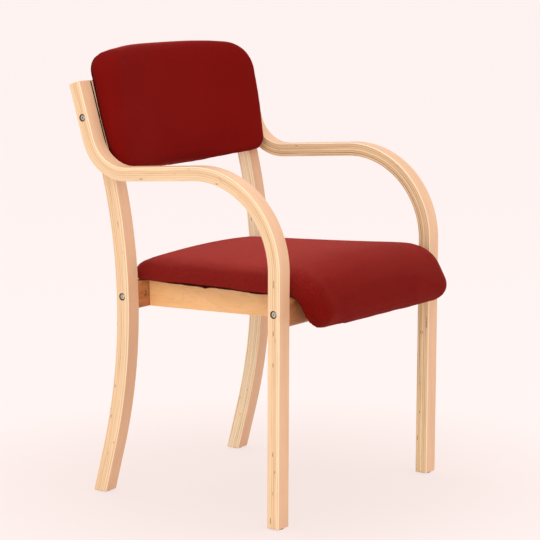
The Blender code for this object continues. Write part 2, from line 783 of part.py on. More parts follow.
def cover(name, make_net, height, board, flange, place, material, parent):
    bm = bmesh.new()
    low_outer = -(board + GAP + COVER_THICKNESS)
    low_inner = -(board + GAP)
    outer = net_verts(bm, make_net(0.0), place, height)
    inner = net_verts(
        bm,
        make_net(COVER_THICKNESS),
        place,
        lambda s, t, e: height(s, t, e) - COVER_THICKNESS,
    )
    net_faces(bm, outer)
    net_faces(bm, inner)
    strips = [rim_of(outer)]
    for inset, level in (
        (COVER_DRAW_IN, low_outer),
        (flange, low_outer),
        (flange, low_inner),
        (COVER_DRAW_IN + COVER_THICKNESS, low_inner),
    ):
        loop = rim_of(make_net(inset))
        strips.append([bm.verts.new(place(s, t, level)) for s, t, e in loop])
    strips.append(rim_of(inner))
    for first, second in zip(strips, strips[1:]):
        strip_faces(bm, first, second)
    return add_object(name, bm, material, parent)


def at_level(level):
    return lambda s, t, e: level


# Seat
seat_rear = seat_run / 2 + RAIL_THICKNESS / 2 + SEAT_REAR_OVERHANG
seat_bend_y = -(seat_run / 2 + RAIL_THICKNESS / 2 - SEAT_BEND_BEHIND)
seat_flat = seat_rear - seat_bend_y
bend_outer = SEAT_BEND_RADIUS + SEAT_BOARD
seat_bend_length = bend_outer * SEAT_BEND
seat_length = seat_flat + seat_bend_length + SEAT_LIP
seat_rear_half = rear_inner - SEAT_REAR_CLEAR
seat_front_half = arm_inner - SEAT_SIDE_CLEAR
seat_lip_half = seat_front_half - SEAT_LIP_TAPER
board_inset = COVER_THICKNESS + COVER_DRAW_IN + 2 * GAP
foam_inset = COVER_THICKNESS + GAP


def seat_half(s):
    if s <= seat_flat:
        return seat_rear_half + (seat_front_half - seat_rear_half) * s / seat_flat
    share = (s - seat_flat) / (seat_length - seat_flat)
    return seat_front_half + (seat_lip_half - seat_front_half) * share


def seat_place(s, t, h):
    if s <= seat_flat:
        return (t, seat_rear - s, board_upper + h)
    angle = min((s - seat_flat) / bend_outer, SEAT_BEND)
    beyond = max(s - seat_flat - seat_bend_length, 0.0)
    y = seat_bend_y - (bend_outer + h) * math.sin(angle) - beyond * math.cos(SEAT_BEND)
    z = board_upper - bend_outer + (bend_outer + h) * math.cos(angle) - beyond * math.sin(SEAT_BEND)
    return (t, y, z)


def seat_height(s, t, e):
    share = min(s / seat_flat, 1.0)
    rear, middle, front = SEAT_PAD_REAR, SEAT_PAD_MIDDLE, SEAT_PAD_FRONT
    pad = rear + (4 * middle - 3 * rear - front) * share + (2 * rear + 2 * front - 4 * middle) * share ** 2
    pad += (SEAT_PAD_LIP - front) * smooth((s - seat_flat) / (seat_bend_length + SEAT_LIP))
    crown = SEAT_CROWN_REAR + (SEAT_CROWN_FRONT - SEAT_CROWN_REAR) * share
    pad += crown * (1 - (t / seat_half(s)) ** 2) * smooth(e / SEAT_CROWN_REACH)
    rise = math.sqrt(1 - (1 - min(e / SEAT_PAD_ROUND, 1.0)) ** 2)
    return SEAT_PAD_EDGE + (pad - SEAT_PAD_EDGE) * rise


def rows_between(first, last, shares):
    return [first + (last - first) * share for share in shares]


CORNER_SHARES = (0.0, 0.14, 0.36, 0.68, 1.0)
seat_rows = rows_between(0.0, SEAT_CORNER_REAR, CORNER_SHARES)
seat_rows += rows_between(SEAT_CORNER_REAR, seat_flat, (0.22, 0.45, 0.68, 0.87, 1.0))
seat_rows += rows_between(seat_flat, seat_flat + seat_bend_length, (0.25, 0.5, 0.75, 1.0))
seat_rows += rows_between(seat_length, seat_length - SEAT_CORNER_FRONT, CORNER_SHARES)[::-1]
seat_inner = (0.5 * (seat_rear_half - SEAT_CORNER_REAR), 0.0)


def seat_net(inset):
    outline = (seat_length, seat_half, SEAT_CORNER_REAR, SEAT_CORNER_FRONT)
    return pad_net(outline, outline, seat_rows, (0.0, 0.04, 0.12, 0.26, 0.46), seat_inner, inset)


seat_board = slab(
    "seat_board", seat_net(board_inset), at_level(0.0), seat_net(board_inset), at_level(-SEAT_BOARD),
    seat_place, BOARD_PLY, seat_frame,
)
cut_holes(seat_board, "screw_holes", [(screw_bore, spot, (0.0, 0.0, 1.0)) for spot in screw_spots], 12)
slab(
    "seat_foam", seat_net(foam_inset), lambda s, t, e: seat_height(s, t, e) - foam_inset,
    seat_net(board_inset), at_level(GAP), seat_place, FOAM, seat_frame,
)
cover("seat_cover", seat_net, seat_height, SEAT_BOARD, SEAT_FLANGE, seat_place, RED_FABRIC, seat_frame)
lining_length = seat_flat - 2 * LINING_MARGIN
lining_corner = SEAT_CORNER_REAR - LINING_MARGIN
lining_rows = rows_between(0.0, lining_corner, CORNER_SHARES) + [lining_length]
lining_outline = (lining_length, lambda s: seat_half(s + LINING_MARGIN) - LINING_MARGIN, lining_corner, 0.0)
lining_net = pad_net(lining_outline, lining_outline, lining_rows, (0.0,), (0.0,), 0.0)
lining = slab(
    "seat_lining", lining_net, at_level(lining_lower + LINING_THICKNESS), lining_net, at_level(lining_lower),
    lambda s, t, h: (t, seat_rear - LINING_MARGIN - s, h), LINING, seat_frame,
)
cut_holes(lining, "screw_holes", [(screw_bore, spot, (0.0, 0.0, 1.0)) for spot in screw_spots], 12)

# Back
back_length = BACK_BELOW + BACK_ABOVE
back_half_bottom = arm_inner - BACK_BOTTOM_CLEAR
back_half_top = arm_inner - BACK_TOP_CLEAR
back_dish_half = rear_inner - BACK_DISH_CLEAR
back_stack = GAP + COVER_THICKNESS + GAP + COVER_THICKNESS + GAP


def back_half(s):
    return back_half_bottom + (back_half_top - back_half_bottom) * s / back_length


def back_dish(t):
    # The board bows back between the posts and lies flat where it meets them
    if abs(t) >= back_dish_half:
        return 0.0
    return BACK_DISH * math.cos(math.pi / 2 * t / back_dish_half) ** 2


def back_place(s, t, h):
    share = min(t / back_half_top, 1.0) ** 2
    lower = -BACK_BELOW + BACK_LOWER_BOW * share
    upper = BACK_ABOVE - BACK_TOP_CROWN * share
    y = -back_stack - BACK_BOARD + back_dish(t) - h
    return (t, y, lower + (upper - lower) * s / back_length)


def back_height(s, t, e):
    pad = BACK_PAD + BACK_PAD_WEDGE * (s / back_length - 0.5)
    pad += back_dish(t) - BACK_FACE_DISH * (1 - (t / back_half_top) ** 2)
    rise = math.sqrt(1 - (1 - min(e / BACK_PAD_ROUND, 1.0)) ** 2)
    return BACK_PAD_EDGE + (pad - BACK_PAD_EDGE) * rise


BACK_SHARES = (0.0, 0.08, 0.22, 0.42, 0.68, 1.0)
back_rows = rows_between(0.0, BACK_FACE_CORNER_BOTTOM, BACK_SHARES)
back_rows += rows_between(BACK_FACE_CORNER_BOTTOM, back_length - BACK_FACE_CORNER_TOP, (0.5,))
back_rows += rows_between(back_length, back_length - BACK_FACE_CORNER_TOP, BACK_SHARES)[::-1]
back_inner = [back_dish_half * share for share in (1.0, 0.75, 0.5, 0.25, 0.0)]


def back_net(inset):
    outline = (back_length, back_half, BACK_CORNER_BOTTOM, BACK_CORNER_TOP)
    face = (back_length, back_half, BACK_FACE_CORNER_BOTTOM, BACK_FACE_CORNER_TOP)
    return pad_net(outline, face, back_rows, (0.0, 0.05, 0.14, 0.30, 0.60), back_inner, inset)


back_board = slab(
    "back_board", back_net(board_inset), at_level(0.0), back_net(board_inset), at_level(-BACK_BOARD),
    back_place, BOARD_PLY, back_frame,
)
slab(
    "back_foam", back_net(foam_inset), lambda s, t, e: back_height(s, t, e) - foam_inset,
    back_net(board_inset), at_level(GAP), back_place, FOAM, back_frame,
)
cover("back_cover", back_net, back_height, BACK_BOARD, BACK_FLANGE, back_place, RED_FABRIC, back_frame)
rear_level = -(BACK_BOARD + GAP + COVER_THICKNESS + GAP)
rear_cover = slab(
    "back_rear_cover", back_net(board_inset), at_level(rear_level),
    back_net(board_inset), at_level(rear_level - COVER_THICKNESS), back_place, RED_FABRIC, back_frame,
)

# Back bolts from behind the posts into tee nuts in the board
tee_face = -back_stack - BACK_BOARD
tee_length = BACK_BOARD - TEE_COVER
tee_rings = [
    (BACK_BOLT_DIAMETER / 2 + GAP, 0.0),
    (TEE_FLANGE_DIAMETER / 2, 0.0),
    (TEE_FLANGE_DIAMETER / 2, TEE_FLANGE_THICKNESS),
    (TEE_BARREL_DIAMETER / 2, TEE_FLANGE_THICKNESS),
    (TEE_BARREL_DIAMETER / 2, tee_length),
    (BACK_BOLT_DIAMETER / 2 + GAP, tee_length),
]
tee_hole = [
    (0.0, -CUT_PAST),
    (TEE_FLANGE_DIAMETER / 2 + GAP, -CUT_PAST),
    (TEE_FLANGE_DIAMETER / 2 + GAP, TEE_FLANGE_THICKNESS + 2 * GAP),
    (TEE_BARREL_DIAMETER / 2 + GAP, TEE_FLANGE_THICKNESS + 2 * GAP),
    (TEE_BARREL_DIAMETER / 2 + GAP, BACK_BOARD + CUT_PAST),
    (0.0, BACK_BOARD + CUT_PAST),
]
cover_hole = plain_rod(BACK_BOLT_DIAMETER / 2 + GAP, -CUT_PAST, back_stack + CUT_PAST)
back_bolt_length = REAR_THICKNESS - BACK_BOLT_HEAD_DEPTH + GAP + back_stack + BACK_BOARD - 2 * GAP
back_bolt_rings = bolt_rings(
    back_bolt_length, BACK_BOLT_DIAMETER, BACK_BOLT_HEAD,
    BACK_BOLT_HEAD_HEIGHT, BACK_SOCKET_WIDTH, BACK_SOCKET_DEPTH,
)
tee_holes = []
cover_holes = []
bolt_source = None
tee_source = None
for side, way in SIDES:
    for level, reach in (("lower", BACK_BOLT_LOW), ("upper", BACK_BOLT_HIGH)):
        spot = (way * back_bolt_x, tee_face, reach)
        tee_holes.append((tee_hole, spot, (0.0, 1.0, 0.0)))
        cover_holes.append((cover_hole, (way * back_bolt_x, -back_stack, reach), (0.0, 1.0, 0.0)))
        bolt_name = "back_bolt_" + level + "_" + side
        tee_name = "tee_nut_" + level + "_" + side
        if bolt_source is None:
            bolt = turned_object(bolt_name, back_bolt_rings, 12, STEEL, back_frame)
            tee = turned_object(tee_name, tee_rings, 12, ZINC, back_frame, True)
            bolt_source = bolt
            tee_source = tee
        else:
            bolt = add_copy(bolt_name, bolt_source, back_frame)
            tee = add_copy(tee_name, tee_source, back_frame)
        aim(bolt, (way * back_bolt_x, tee_face + 2 * GAP, reach), (0.0, 1.0, 0.0))
        aim(tee, (way * back_bolt_x, tee_face + GAP, reach), (0.0, 1.0, 0.0))
cut_holes(back_board, "tee_holes", tee_holes, 12)
cut_holes(rear_cover, "bolt_holes", cover_holes, 12)
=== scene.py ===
import bpy
import bmesh
from math import atan2, ceil, copysign, cos, degrees, hypot, pi, radians, sin, sqrt
from mathutils import Matrix, Vector, noise


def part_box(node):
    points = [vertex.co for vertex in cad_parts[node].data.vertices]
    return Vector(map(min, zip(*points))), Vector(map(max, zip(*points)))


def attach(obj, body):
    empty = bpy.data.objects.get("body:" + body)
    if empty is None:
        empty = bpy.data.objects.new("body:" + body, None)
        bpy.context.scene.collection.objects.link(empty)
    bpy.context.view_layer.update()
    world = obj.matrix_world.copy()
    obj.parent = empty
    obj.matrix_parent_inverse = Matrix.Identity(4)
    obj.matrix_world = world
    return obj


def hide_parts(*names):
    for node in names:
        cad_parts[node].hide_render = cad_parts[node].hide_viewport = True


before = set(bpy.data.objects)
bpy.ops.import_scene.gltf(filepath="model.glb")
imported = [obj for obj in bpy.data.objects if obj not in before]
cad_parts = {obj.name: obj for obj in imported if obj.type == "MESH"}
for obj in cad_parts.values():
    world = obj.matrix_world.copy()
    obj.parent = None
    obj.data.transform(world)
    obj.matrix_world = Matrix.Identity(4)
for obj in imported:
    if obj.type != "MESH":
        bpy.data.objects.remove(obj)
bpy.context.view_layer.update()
scene = bpy.context.scene
scene.view_settings.view_transform = "Standard"
sides = {"right": -1.0, "left": 1.0}  # the sitter's right is the near side in the photo
print("frame loaded with", len(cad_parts), "nodes")


# small helpers for shader nodes

def srgb(red, green, blue):
    # screen levels 0-255 to the linear values that a shader takes
    def linear(level):
        level /= 255
        return level / 12.92 if level <= 0.04045 else ((level + 0.055) / 1.055) ** 2.4
    return (linear(red), linear(green), linear(blue), 1.0)


def put(tree, kind, inputs=None, **facts):
    # a new node, each input linked to another node's socket or set to a value
    made = tree.nodes.new("ShaderNode" + kind)
    for name, value in facts.items():
        setattr(made, name, value)
    for name, value in (inputs or {}).items():
        if isinstance(value, bpy.types.NodeSocket):
            tree.links.new(value, made.inputs[name])
        else:
            made.inputs[name].default_value = value
    return made


def calc(operation, *values):
    tree = next(value.id_data for value in values if isinstance(value, bpy.types.NodeSocket))
    return put(tree, "Math", dict(enumerate(values)), operation=operation).outputs[0]


def plus(first, second):
    return calc("ADD", first, second)


def minus(first, second):
    return calc("SUBTRACT", first, second)


def times(first, second):
    return calc("MULTIPLY", first, second)


def weighed(first, *others):
    # a sum of values, each times its weight
    total = times(*first)
    for value, weight in others:
        total = plus(total, times(value, weight))
    return total


def spread(value, low, high, toLow=0.0, toHigh=1.0):
    # a smooth step of the value from low to high
    settings = {"Value": value, "From Min": low, "From Max": high, "To Min": toLow, "To Max": toHigh}
    return put(value.id_data, "MapRange", settings, interpolation_type="SMOOTHSTEP").outputs["Result"]


def stretched(vector, scale, shift=(0.0, 0.0, 0.0)):
    settings = {"Vector": vector, "Scale": scale, "Location": shift}
    return put(vector.id_data, "Mapping", settings).outputs["Vector"]


def cloudy(vector, scale, detail, shift=(0.0, 0.0, 0.0), twist=0.0):
    # soft noise, with one scale all ways or one for each axis
    if isinstance(scale, tuple):
        vector, scale = stretched(vector, scale, shift), 1.0
    settings = {"Vector": vector, "Scale": scale, "Detail": detail, "Distortion": twist}
    return put(vector.id_data, "TexNoise", settings).outputs["Fac"]


def chance(whole, seed):
    # a random share for each whole number
    settings = {"W": plus(whole, seed)}
    return put(whole.id_data, "TexWhiteNoise", settings, noise_dimensions="1D").outputs["Value"]


def mixed(share, first, second):
    # inputs 6 and 7 of this node are its two colours
    return put(share.id_data, "Mix", {0: share, 6: first, 7: second}, data_type="RGBA").outputs[2]


def newFinish(name, roughness, **sockets):
    material = bpy.data.materials.new(name)
    material.use_nodes = True
    tree = material.node_tree
    surface = tree.nodes["Principled BSDF"]
    surface.inputs["Roughness"].default_value = roughness
    for socket, value in sockets.items():
        surface.inputs[socket.replace("_", " ")].default_value = value
    return material, tree, surface


def linkTo(surface, **sockets):
    for socket, value in sockets.items():
        surface.id_data.links.new(value, surface.inputs[socket.replace("_", " ")])


def addBump(surface, height, distance):
    bump = put(surface.id_data, "Bump", {"Height": height, "Distance": distance, "Strength": 1.0})
    linkTo(surface, Normal=bump.outputs["Normal"])


def objectPlace(tree):
    return put(tree, "TexCoord").outputs["Object"]


# small helpers for meshes

mergeWithin = 0.00002


def newObject(name, bm):
    mesh = bpy.data.meshes.new(name)
    bm.to_mesh(mesh)
    bm.free()
    made = bpy.data.objects.new(name, mesh)
    scene.collection.objects.link(made)
    return made


def newPiece(name, bm, material, sharpAngle=35.0):
    piece = newObject(name, bm)
    finishPiece(piece, material, sharpAngle)
    return piece


def finishPiece(piece, material, sharpAngle=35.0):
    piece.data.materials.clear()
    piece.data.materials.append(material)
    piece.data.shade_smooth()
    piece.data.set_sharp_from_angle(angle=radians(sharpAngle))
    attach(piece, "root")


def applyModifiers(piece):
    shown = piece.evaluated_get(bpy.context.evaluated_depsgraph_get())
    mesh = bpy.data.meshes.new_from_object(shown)
    old = piece.data
    piece.modifiers.clear()
    piece.data = mesh
    bpy.data.meshes.remove(old)


def meshOf(piece):
    bm = bmesh.new()
    bm.from_mesh(piece.data)
    return bm


def tidyMesh(bm):
    bmesh.ops.remove_doubles(bm, verts=bm.verts[:], dist=mergeWithin)
    bmesh.ops.recalc_face_normals(bm, faces=bm.faces[:])


def extrudeEnd(bm, face):
    # the edges go with the face, so no wall is left inside the solid
    grown = bmesh.ops.extrude_face_region(bm, geom=[face] + face.edges[:] + face.verts[:])["geom"]
    ring = [item for item in grown if isinstance(item, bmesh.types.BMVert)]
    return [item for item in grown if isinstance(item, bmesh.types.BMFace)][0], ring


def growFace(bm, face, lift, scale=1.0):
    end, ring = extrudeEnd(bm, face)
    bmesh.ops.scale(bm, verts=ring, vec=(scale, scale, 1.0))
    bmesh.ops.translate(bm, verts=ring, vec=(0.0, 0.0, lift))
    return end, ring


def middleOf(node):
    low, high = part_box(node)
    return (low + high) / 2


def outerFace(node, way):
    low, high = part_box(node)
    return high.x if way > 0 else low.x


def smooth(value):
    value = min(max(value, 0.0), 1.0)
    return value * value * (3 - 2 * value)


def between(first, last, share):
    return first + (last - first) * share


def ramp(value, start, ease):
    return smooth((value - start) / ease)


# wood finishes: a step holds where it starts and ends, then its two levels if they aren't 0 and 1

plyLook = dict(
    veneer=0.0043, roughness=0.42, glossStep=(0.2, 0.8, 0.38, 0.48), bump=0.00012,
    driftScale=(18.0, 5.0, 0.0), driftReach=0.0010,
    streakScale=(320.0, 13.0, 900.0), fleckScale=(700.0, 120.0, 1600.0),
    turnWeight=0.22, toneWeight=0.45, streakWeight=0.55, fleckWeight=0.18, toneStep=(0.30, 1.20),
    seamStep=(0.05, 0.20, 1.0, 0.0), lineSeed=40.0, lineStep=(0.0, 1.0, 0.45, 1.0),
    thin=3.0, thinStep=(0.05, 0.30, 1.0, 0.0), thinShare=0.35,
    unevenScale=(6.0, 14.0, 420.0), unevenStep=(0.30, 0.70, 0.25, 1.0),
    hole=srgb(118, 66, 28), holeShare=0.8, holeScale=(24.0, 34.0, 0.0), holeShift=7.3,
    holeStep=(0.675, 0.725), holeDepth=(0.24, 0.40), holeBump=2.0,
    faceLight=srgb(230, 187, 151), faceDark=srgb(216, 169, 131), faceStep=(0.30, 0.80),
    flameScale=(26.0, 3.2, 0.0), flameTwist=0.6, flameWeight=0.75,
    poreScale=(900.0, 26.0, 0.0), poreWeight=0.35, poreBump=0.6,
    outerFrom=0.0021, outerTo=0.0014, sideTo=0.4, cream=srgb(252, 229, 194), creamShare=0.8,
    paintedBoreShade=srgb(104, 64, 30), paintedBoreShadeShare=0.9, paintedGapShade=srgb(62, 36, 14),
)
paleEdge = dict(pale=srgb(250, 219, 178), warm=srgb(236, 194, 146), seam=srgb(122, 76, 42), share=0.64)
linedEdge = dict(pale=srgb(252, 226, 182), warm=srgb(236, 192, 142), seam=srgb(88, 54, 28), share=1.0)
# the far rear leg's edges are painted paler: painted light, lifting the wood where the seat shades it
paintedLightEdge = dict(pale=srgb(254, 234, 198), warm=srgb(247, 214, 170), seam=srgb(138, 94, 58), share=0.8)


def veneerTones(place, layer, streak, seed, tones):
    # veneers lie in turns along and across, and each has a tone of its own
    look = plyLook
    turn = calc("PINGPONG", layer, 1.0)
    tone = chance(layer, seed)
    fleck = cloudy(place, look["fleckScale"], 2.0, (0.0, seed, 0.0))
    shade = weighed(
        (turn, look["turnWeight"]), (tone, look["toneWeight"]),
        (streak, look["streakWeight"]), (fleck, look["fleckWeight"]),
    )
    return mixed(spread(shade, *look["toneStep"]), tones["pale"], tones["warm"])


def glueLines(place, level, fromSeam, seed):
    # between the veneers, some strong and some faint, and uneven along the bend
    look = plyLook
    line = chance(calc("ROUND", level), seed + look["lineSeed"])
    seam = times(spread(fromSeam, *look["seamStep"]), spread(line, *look["lineStep"]))
    fine = calc("PINGPONG", times(level, look["thin"]), 0.5)
    fine = times(spread(fine, *look["thinStep"]), look["thinShare"])
    uneven = cloudy(place, look["unevenScale"], 3.0, (0.0, 0.0, seed))
    return times(calc("MAXIMUM", seam, fine), spread(uneven, *look["unevenStep"]))


def openJoints(place, layer, fromSeam, seed):
    # short gaps along a few inner veneers
    look = plyLook
    tree = place.id_data
    lot = put(tree, "CombineXYZ", {"X": times(layer, look["holeShift"]), "Y": seed}).outputs[0]
    run = stretched(place, look["holeScale"])
    run = put(tree, "VectorMath", {0: run, 1: lot}, operation="ADD").outputs[0]
    gap = spread(cloudy(run, 1.0, 1.0), *look["holeStep"])
    return times(gap, spread(fromSeam, *look["holeDepth"]))


def plyFinish(plan, side, low, high):
    # one solid of veneers: x is across the width, y along the bend, z through the veneers
    look = plyLook
    tones = plan["edges"][side]
    seed = plan["seed"] + sides[side]
    material, tree, surface = newFinish(plan["finish"] + side, look["roughness"])
    place = put(tree, "Attribute", attribute_name="plyPlace").outputs["Vector"]
    axes = put(tree, "SeparateXYZ", {"Vector": place}).outputs
    drift = cloudy(place, look["driftScale"], 1.0, (seed, 0.0, 0.0))
    depth = plus(axes["Z"], times(minus(drift, 0.5), look["driftReach"]))
    level = plus(calc("DIVIDE", depth, look["veneer"]), 0.5)
    layer = calc("FLOOR", level)
    fromSeam = calc("PINGPONG", level, 0.5)
    streak = cloudy(place, look["streakScale"], 4.0, (seed, 0.0, 0.0))
    edge = veneerTones(place, layer, streak, seed, tones)
    seam = glueLines(place, level, fromSeam, seed)
    edge = mixed(times(seam, tones["share"]), edge, tones["seam"])
    gap = openJoints(place, layer, fromSeam, seed)
    edge = mixed(times(gap, look["holeShare"]), edge, look["hole"])

    # the outer veneers, seen flat on the bent faces and as a pale line beside them
    flame = cloudy(place, look["flameScale"], 3.0, (seed, seed, 0.0), look["flameTwist"])
    pore = cloudy(place, look["poreScale"], 2.0, (0.0, seed, 0.0))
    figure = weighed((flame, look["flameWeight"]), (pore, look["poreWeight"]))
    face = mixed(spread(figure, *look["faceStep"]), look["faceLight"], look["faceDark"])
    fromMiddle = calc("ABSOLUTE", minus(axes["X"], (low + high) / 2))
    width, half, eased = (high - low) / 2, plan["thickness"] / 2, easedEdge["radius"]
    onSide = spread(fromMiddle, width - eased, width - look["sideTo"] * eased)
    outer = spread(calc("ABSOLUTE", depth), half - look["outerFrom"], half - look["outerTo"])
    edge = mixed(times(outer, look["creamShare"]), edge, look["cream"])
    isFace = times(outer, minus(1.0, onSide))
    colour = mixed(isFace, edge, face)

    # painted shade in the bores and in the gap between arm and post, where the wood lies in shadow
    bore = put(tree, "Attribute", attribute_name="boreShade").outputs["Fac"]
    colour = mixed(times(bore, look["paintedBoreShadeShare"]), colour, look["paintedBoreShade"])
    # painted shade: the faces of the narrow gap beside the post are darkened as if in shadow
    gapShadeMask = put(tree, "Attribute", attribute_name="gapShade").outputs["Fac"]
    colour = mixed(gapShadeMask, colour, look["paintedGapShade"])
    grain = minus(streak, plus(seam, times(gap, look["holeBump"])))
    grain = plus(grain, times(times(pore, isFace), look["poreBump"]))
    addBump(surface, grain, look["bump"])
    gloss = calc("MAXIMUM", spread(streak, *look["glossStep"]), gapShadeMask)
    linkTo(surface, Base_Color=colour, Roughness=gloss)
    return material


railLook = dict(
    roughness=0.40, glossStep=(0.2, 0.8, 0.36, 0.48), bump=0.00010,
    waveScale=(9.0, 38.0, 30.0), waveTwist=1.4, waveStep=(0.32, 0.70),
    veinCount=9.0, veinStep=(0.0, 0.10, 0.35, 0.0),
    poreScale=(40.0, 900.0, 900.0), poreStep=(0.45, 0.85, 0.0, 0.22),
)


def railFinish(name, grain, light, dark, vein):
    # veneer with a wavy figure, its grain along x or y
    look = railLook
    material, tree, surface = newFinish(name, look["roughness"])
    place = objectPlace(tree)
    scales = [look["waveScale"], look["poreScale"]]
    if grain == "y":
        scales = [(across, along, through) for along, across, through in scales]
    wave = cloudy(place, scales[0], 3.0, twist=look["waveTwist"])
    pore = cloudy(place, scales[1], 2.0)
    colour = mixed(spread(wave, *look["waveStep"]), light, dark)
    line = calc("PINGPONG", times(wave, look["veinCount"]), 0.5)
    colour = mixed(spread(line, *look["veinStep"]), colour, vein)
    colour = mixed(spread(pore, *look["poreStep"]), colour, vein)
    addBump(surface, pore, look["bump"])
    linkTo(surface, Base_Color=colour, Roughness=spread(pore, *look["glossStep"]))
    return material


sideRail = railFinish("sideRailVeneer", "y", srgb(252, 198, 136), srgb(244, 188, 126), srgb(222, 160, 102))
# the cross rails take the side rails' veneer painted darker and redder: painted shade under the seat, with
# painted red light thrown back from the cloth
shadedCrossRail = railFinish("crossRailShadedVeneer", "x", srgb(184, 116, 68), srgb(156, 92, 50), srgb(120, 68, 38))
shadedRearRail = railFinish("rearRailShadedVeneer", "x", srgb(202, 130, 76), srgb(172, 102, 56), srgb(132, 76, 42))
boardWood = railFinish("boardPly", "y", srgb(226, 184, 136), srgb(204, 158, 108), srgb(170, 122, 78))


# laminated arms and legs, bent with spin along lines and arcs in the side plane

armPlan = dict(
    nodes="arm_leg_", piece="armLeg_", finish="armPly_", edges=dict(right=paleEdge, left=linedEdge),
    seed=3.0, heading=90.48, thickness=0.026, degreesPerStep=2.0, footY=-0.2068, footZ=0.0016,
    moves=(
        ("line", 0.4697), ("arc", 0.1693, -94.51), ("line", 0.15844), ("arc", 0.0845, 77.41), ("rise", 0.797),
    ),
)
rearPlan = dict(
    nodes="rear_leg_", piece="rearLeg_", finish="rearPly_", edges=dict(right=paleEdge, left=paintedLightEdge),
    seed=11.0, heading=105.44, thickness=0.029, degreesPerStep=1.3, footY=0.2313, footZ=0.0016,
    moves=(("line", 0.0948), ("arc", 1.038, -32.06), ("rise", 0.796)),
)
easedEdge = dict(radius=0.0023, steps=4, sharpFrom=30.0)
offWeight = 0.02  # how much the distance from a stretch's line counts in choosing it


def traceStretches(plan):
    point = Vector((plan["footY"], plan["footZ"]))
    heading = radians(plan["heading"])
    reached = 0.0
    stretches = []
    for kind, size, *turn in plan["moves"]:
        ahead = Vector((cos(heading), sin(heading)))
        normal = Vector((-ahead.y, ahead.x))
        stretch = dict(start=point, ahead=ahead, normal=normal, reached=reached, turn=0.0)
        if kind == "arc":
            angle = radians(turn[0])
            centre = point + normal * size * copysign(1.0, angle)
            spoke = point - centre
            spoke.rotate(Matrix.Rotation(angle, 2))
            point = centre + spoke
            heading += angle
            stretch.update(turn=angle, radius=size, centre=centre, length=size * abs(angle))
        else:
            stretch["length"] = size if kind == "line" else (size - point.y) / ahead.y
            point = point + ahead * stretch["length"]
        reached += stretch["length"]
        stretches.append(stretch)
    return stretches


def placeAlong(stretches, spot):
    # length along the middle line and distance from it, for a point near the path
    best = None
    for stretch in stretches:
        reach = spot - stretch["start"]
        along, off = reach.dot(stretch["ahead"]), reach.dot(stretch["normal"])
        if stretch["turn"]:
            spoke = spot - stretch["centre"]
            first = stretch["start"] - stretch["centre"]
            way = copysign(1.0, stretch["turn"])
            angle = atan2(first.x * spoke.y - first.y * spoke.x, first.dot(spoke)) * way
            along = angle * stretch["radius"]
            off = (stretch["radius"] - spoke.length) * way
        stray = max(-along, along - stretch["length"], 0.0) + offWeight * abs(off)
        if best is None or stray < best[0]:
            best = (stray, stretch["reached"] + along, off)
    return best[1], best[2]


def bendLamination(plan, low, high, stretches):
    half = plan["thickness"] / 2
    bm = bmesh.new()
    slant = half / sin(radians(plan["heading"]))  # the foot is cut level with the floor
    corners = ((low, -slant), (high, -slant), (high, slant), (low, slant))
    end = bm.faces.new([bm.verts.new((x, plan["footY"] + dy, plan["footZ"])) for x, dy in corners])
    for stretch in stretches:
        if stretch["turn"]:
            centre = (0.0, stretch["centre"].x, stretch["centre"].y)
            steps = ceil(abs(degrees(stretch["turn"])) / plan["degreesPerStep"])
            grown = bmesh.ops.spin(
                bm, geom=[end] + end.edges[:] + end.verts[:], cent=centre, axis=(1.0, 0.0, 0.0),
                angle=stretch["turn"], steps=steps, use_merge=False, use_duplicate=False,
            )["geom_last"]
            end = [item for item in grown if isinstance(item, bmesh.types.BMFace)][0]
        else:
            end, ring = extrudeEnd(bm, end)
            tip = stretch["start"] + stretch["ahead"] * stretch["length"]
            for vert in ring:
                side = (vert.co.yz - stretch["start"]).dot(stretch["normal"])
                vert.co.yz = tip + stretch["normal"] * copysign(half, side)
    tidyMesh(bm)
    sharp = [edge for edge in bm.edges if edge.calc_face_angle(0.0) > radians(easedEdge["sharpFrom"])]
    bmesh.ops.bevel(
        bm, geom=sharp, offset=easedEdge["radius"], offset_type="OFFSET", affect="EDGES",
        segments=easedEdge["steps"], profile=0.5, material=-1,
    )
    tidyMesh(bm)
    return bm


boltBore = dict(radius=0.0070, depth=0.0095, steps=48, rim=0.0004)
backBore = dict(radius=0.0060, depth=0.0065, steps=40, rim=0.0003)
plugStands = 0.01  # how far the plug that cuts a bore stands out of the wood
mouthEase = 0.001  # the shade of a bore reaches this far out of its mouth
backLean = radians(16.62)
backSpot = Vector((0.0, 0.221129, 0.747647))  # on the front of the posts, halfway up the back
backFrame = Matrix.Translation(backSpot) @ Matrix.Rotation(-backLean, 4, "X")
backBolts = dict(lower=-0.075, upper=0.028)
forwards = backFrame.to_3x3() @ Vector((0.0, -1.0, 0.0))
backwards = backFrame.to_3x3() @ Vector((0.0, 1.0, 0.0))


def addBore(bm, bore, mouth, inward):
    # a plug with a slightly flared mouth, to be cut out of the wood
    turn = inward.to_track_quat("Z", "Y").to_matrix().to_4x4()
    flare = bore["radius"] + bore["rim"]
    made = bmesh.ops.create_circle(bm, cap_ends=True, segments=bore["steps"], radius=bore["radius"])
    bottom = [face for face in bm.faces if set(face.verts) == set(made["verts"])][0]
    bmesh.ops.translate(bm, verts=made["verts"], vec=(0.0, 0.0, bore["depth"]))
    verts = list(made["verts"])
    for level, grow in ((bore["rim"], 1.0), (0.0, flare / bore["radius"]), (-plugStands, 1.0)):
        bottom, ring = growFace(bm, bottom, level - bottom.verts[0].co.z, grow)
        verts += ring
    bmesh.ops.transform(bm, matrix=Matrix.Translation(mouth) @ turn, verts=verts)


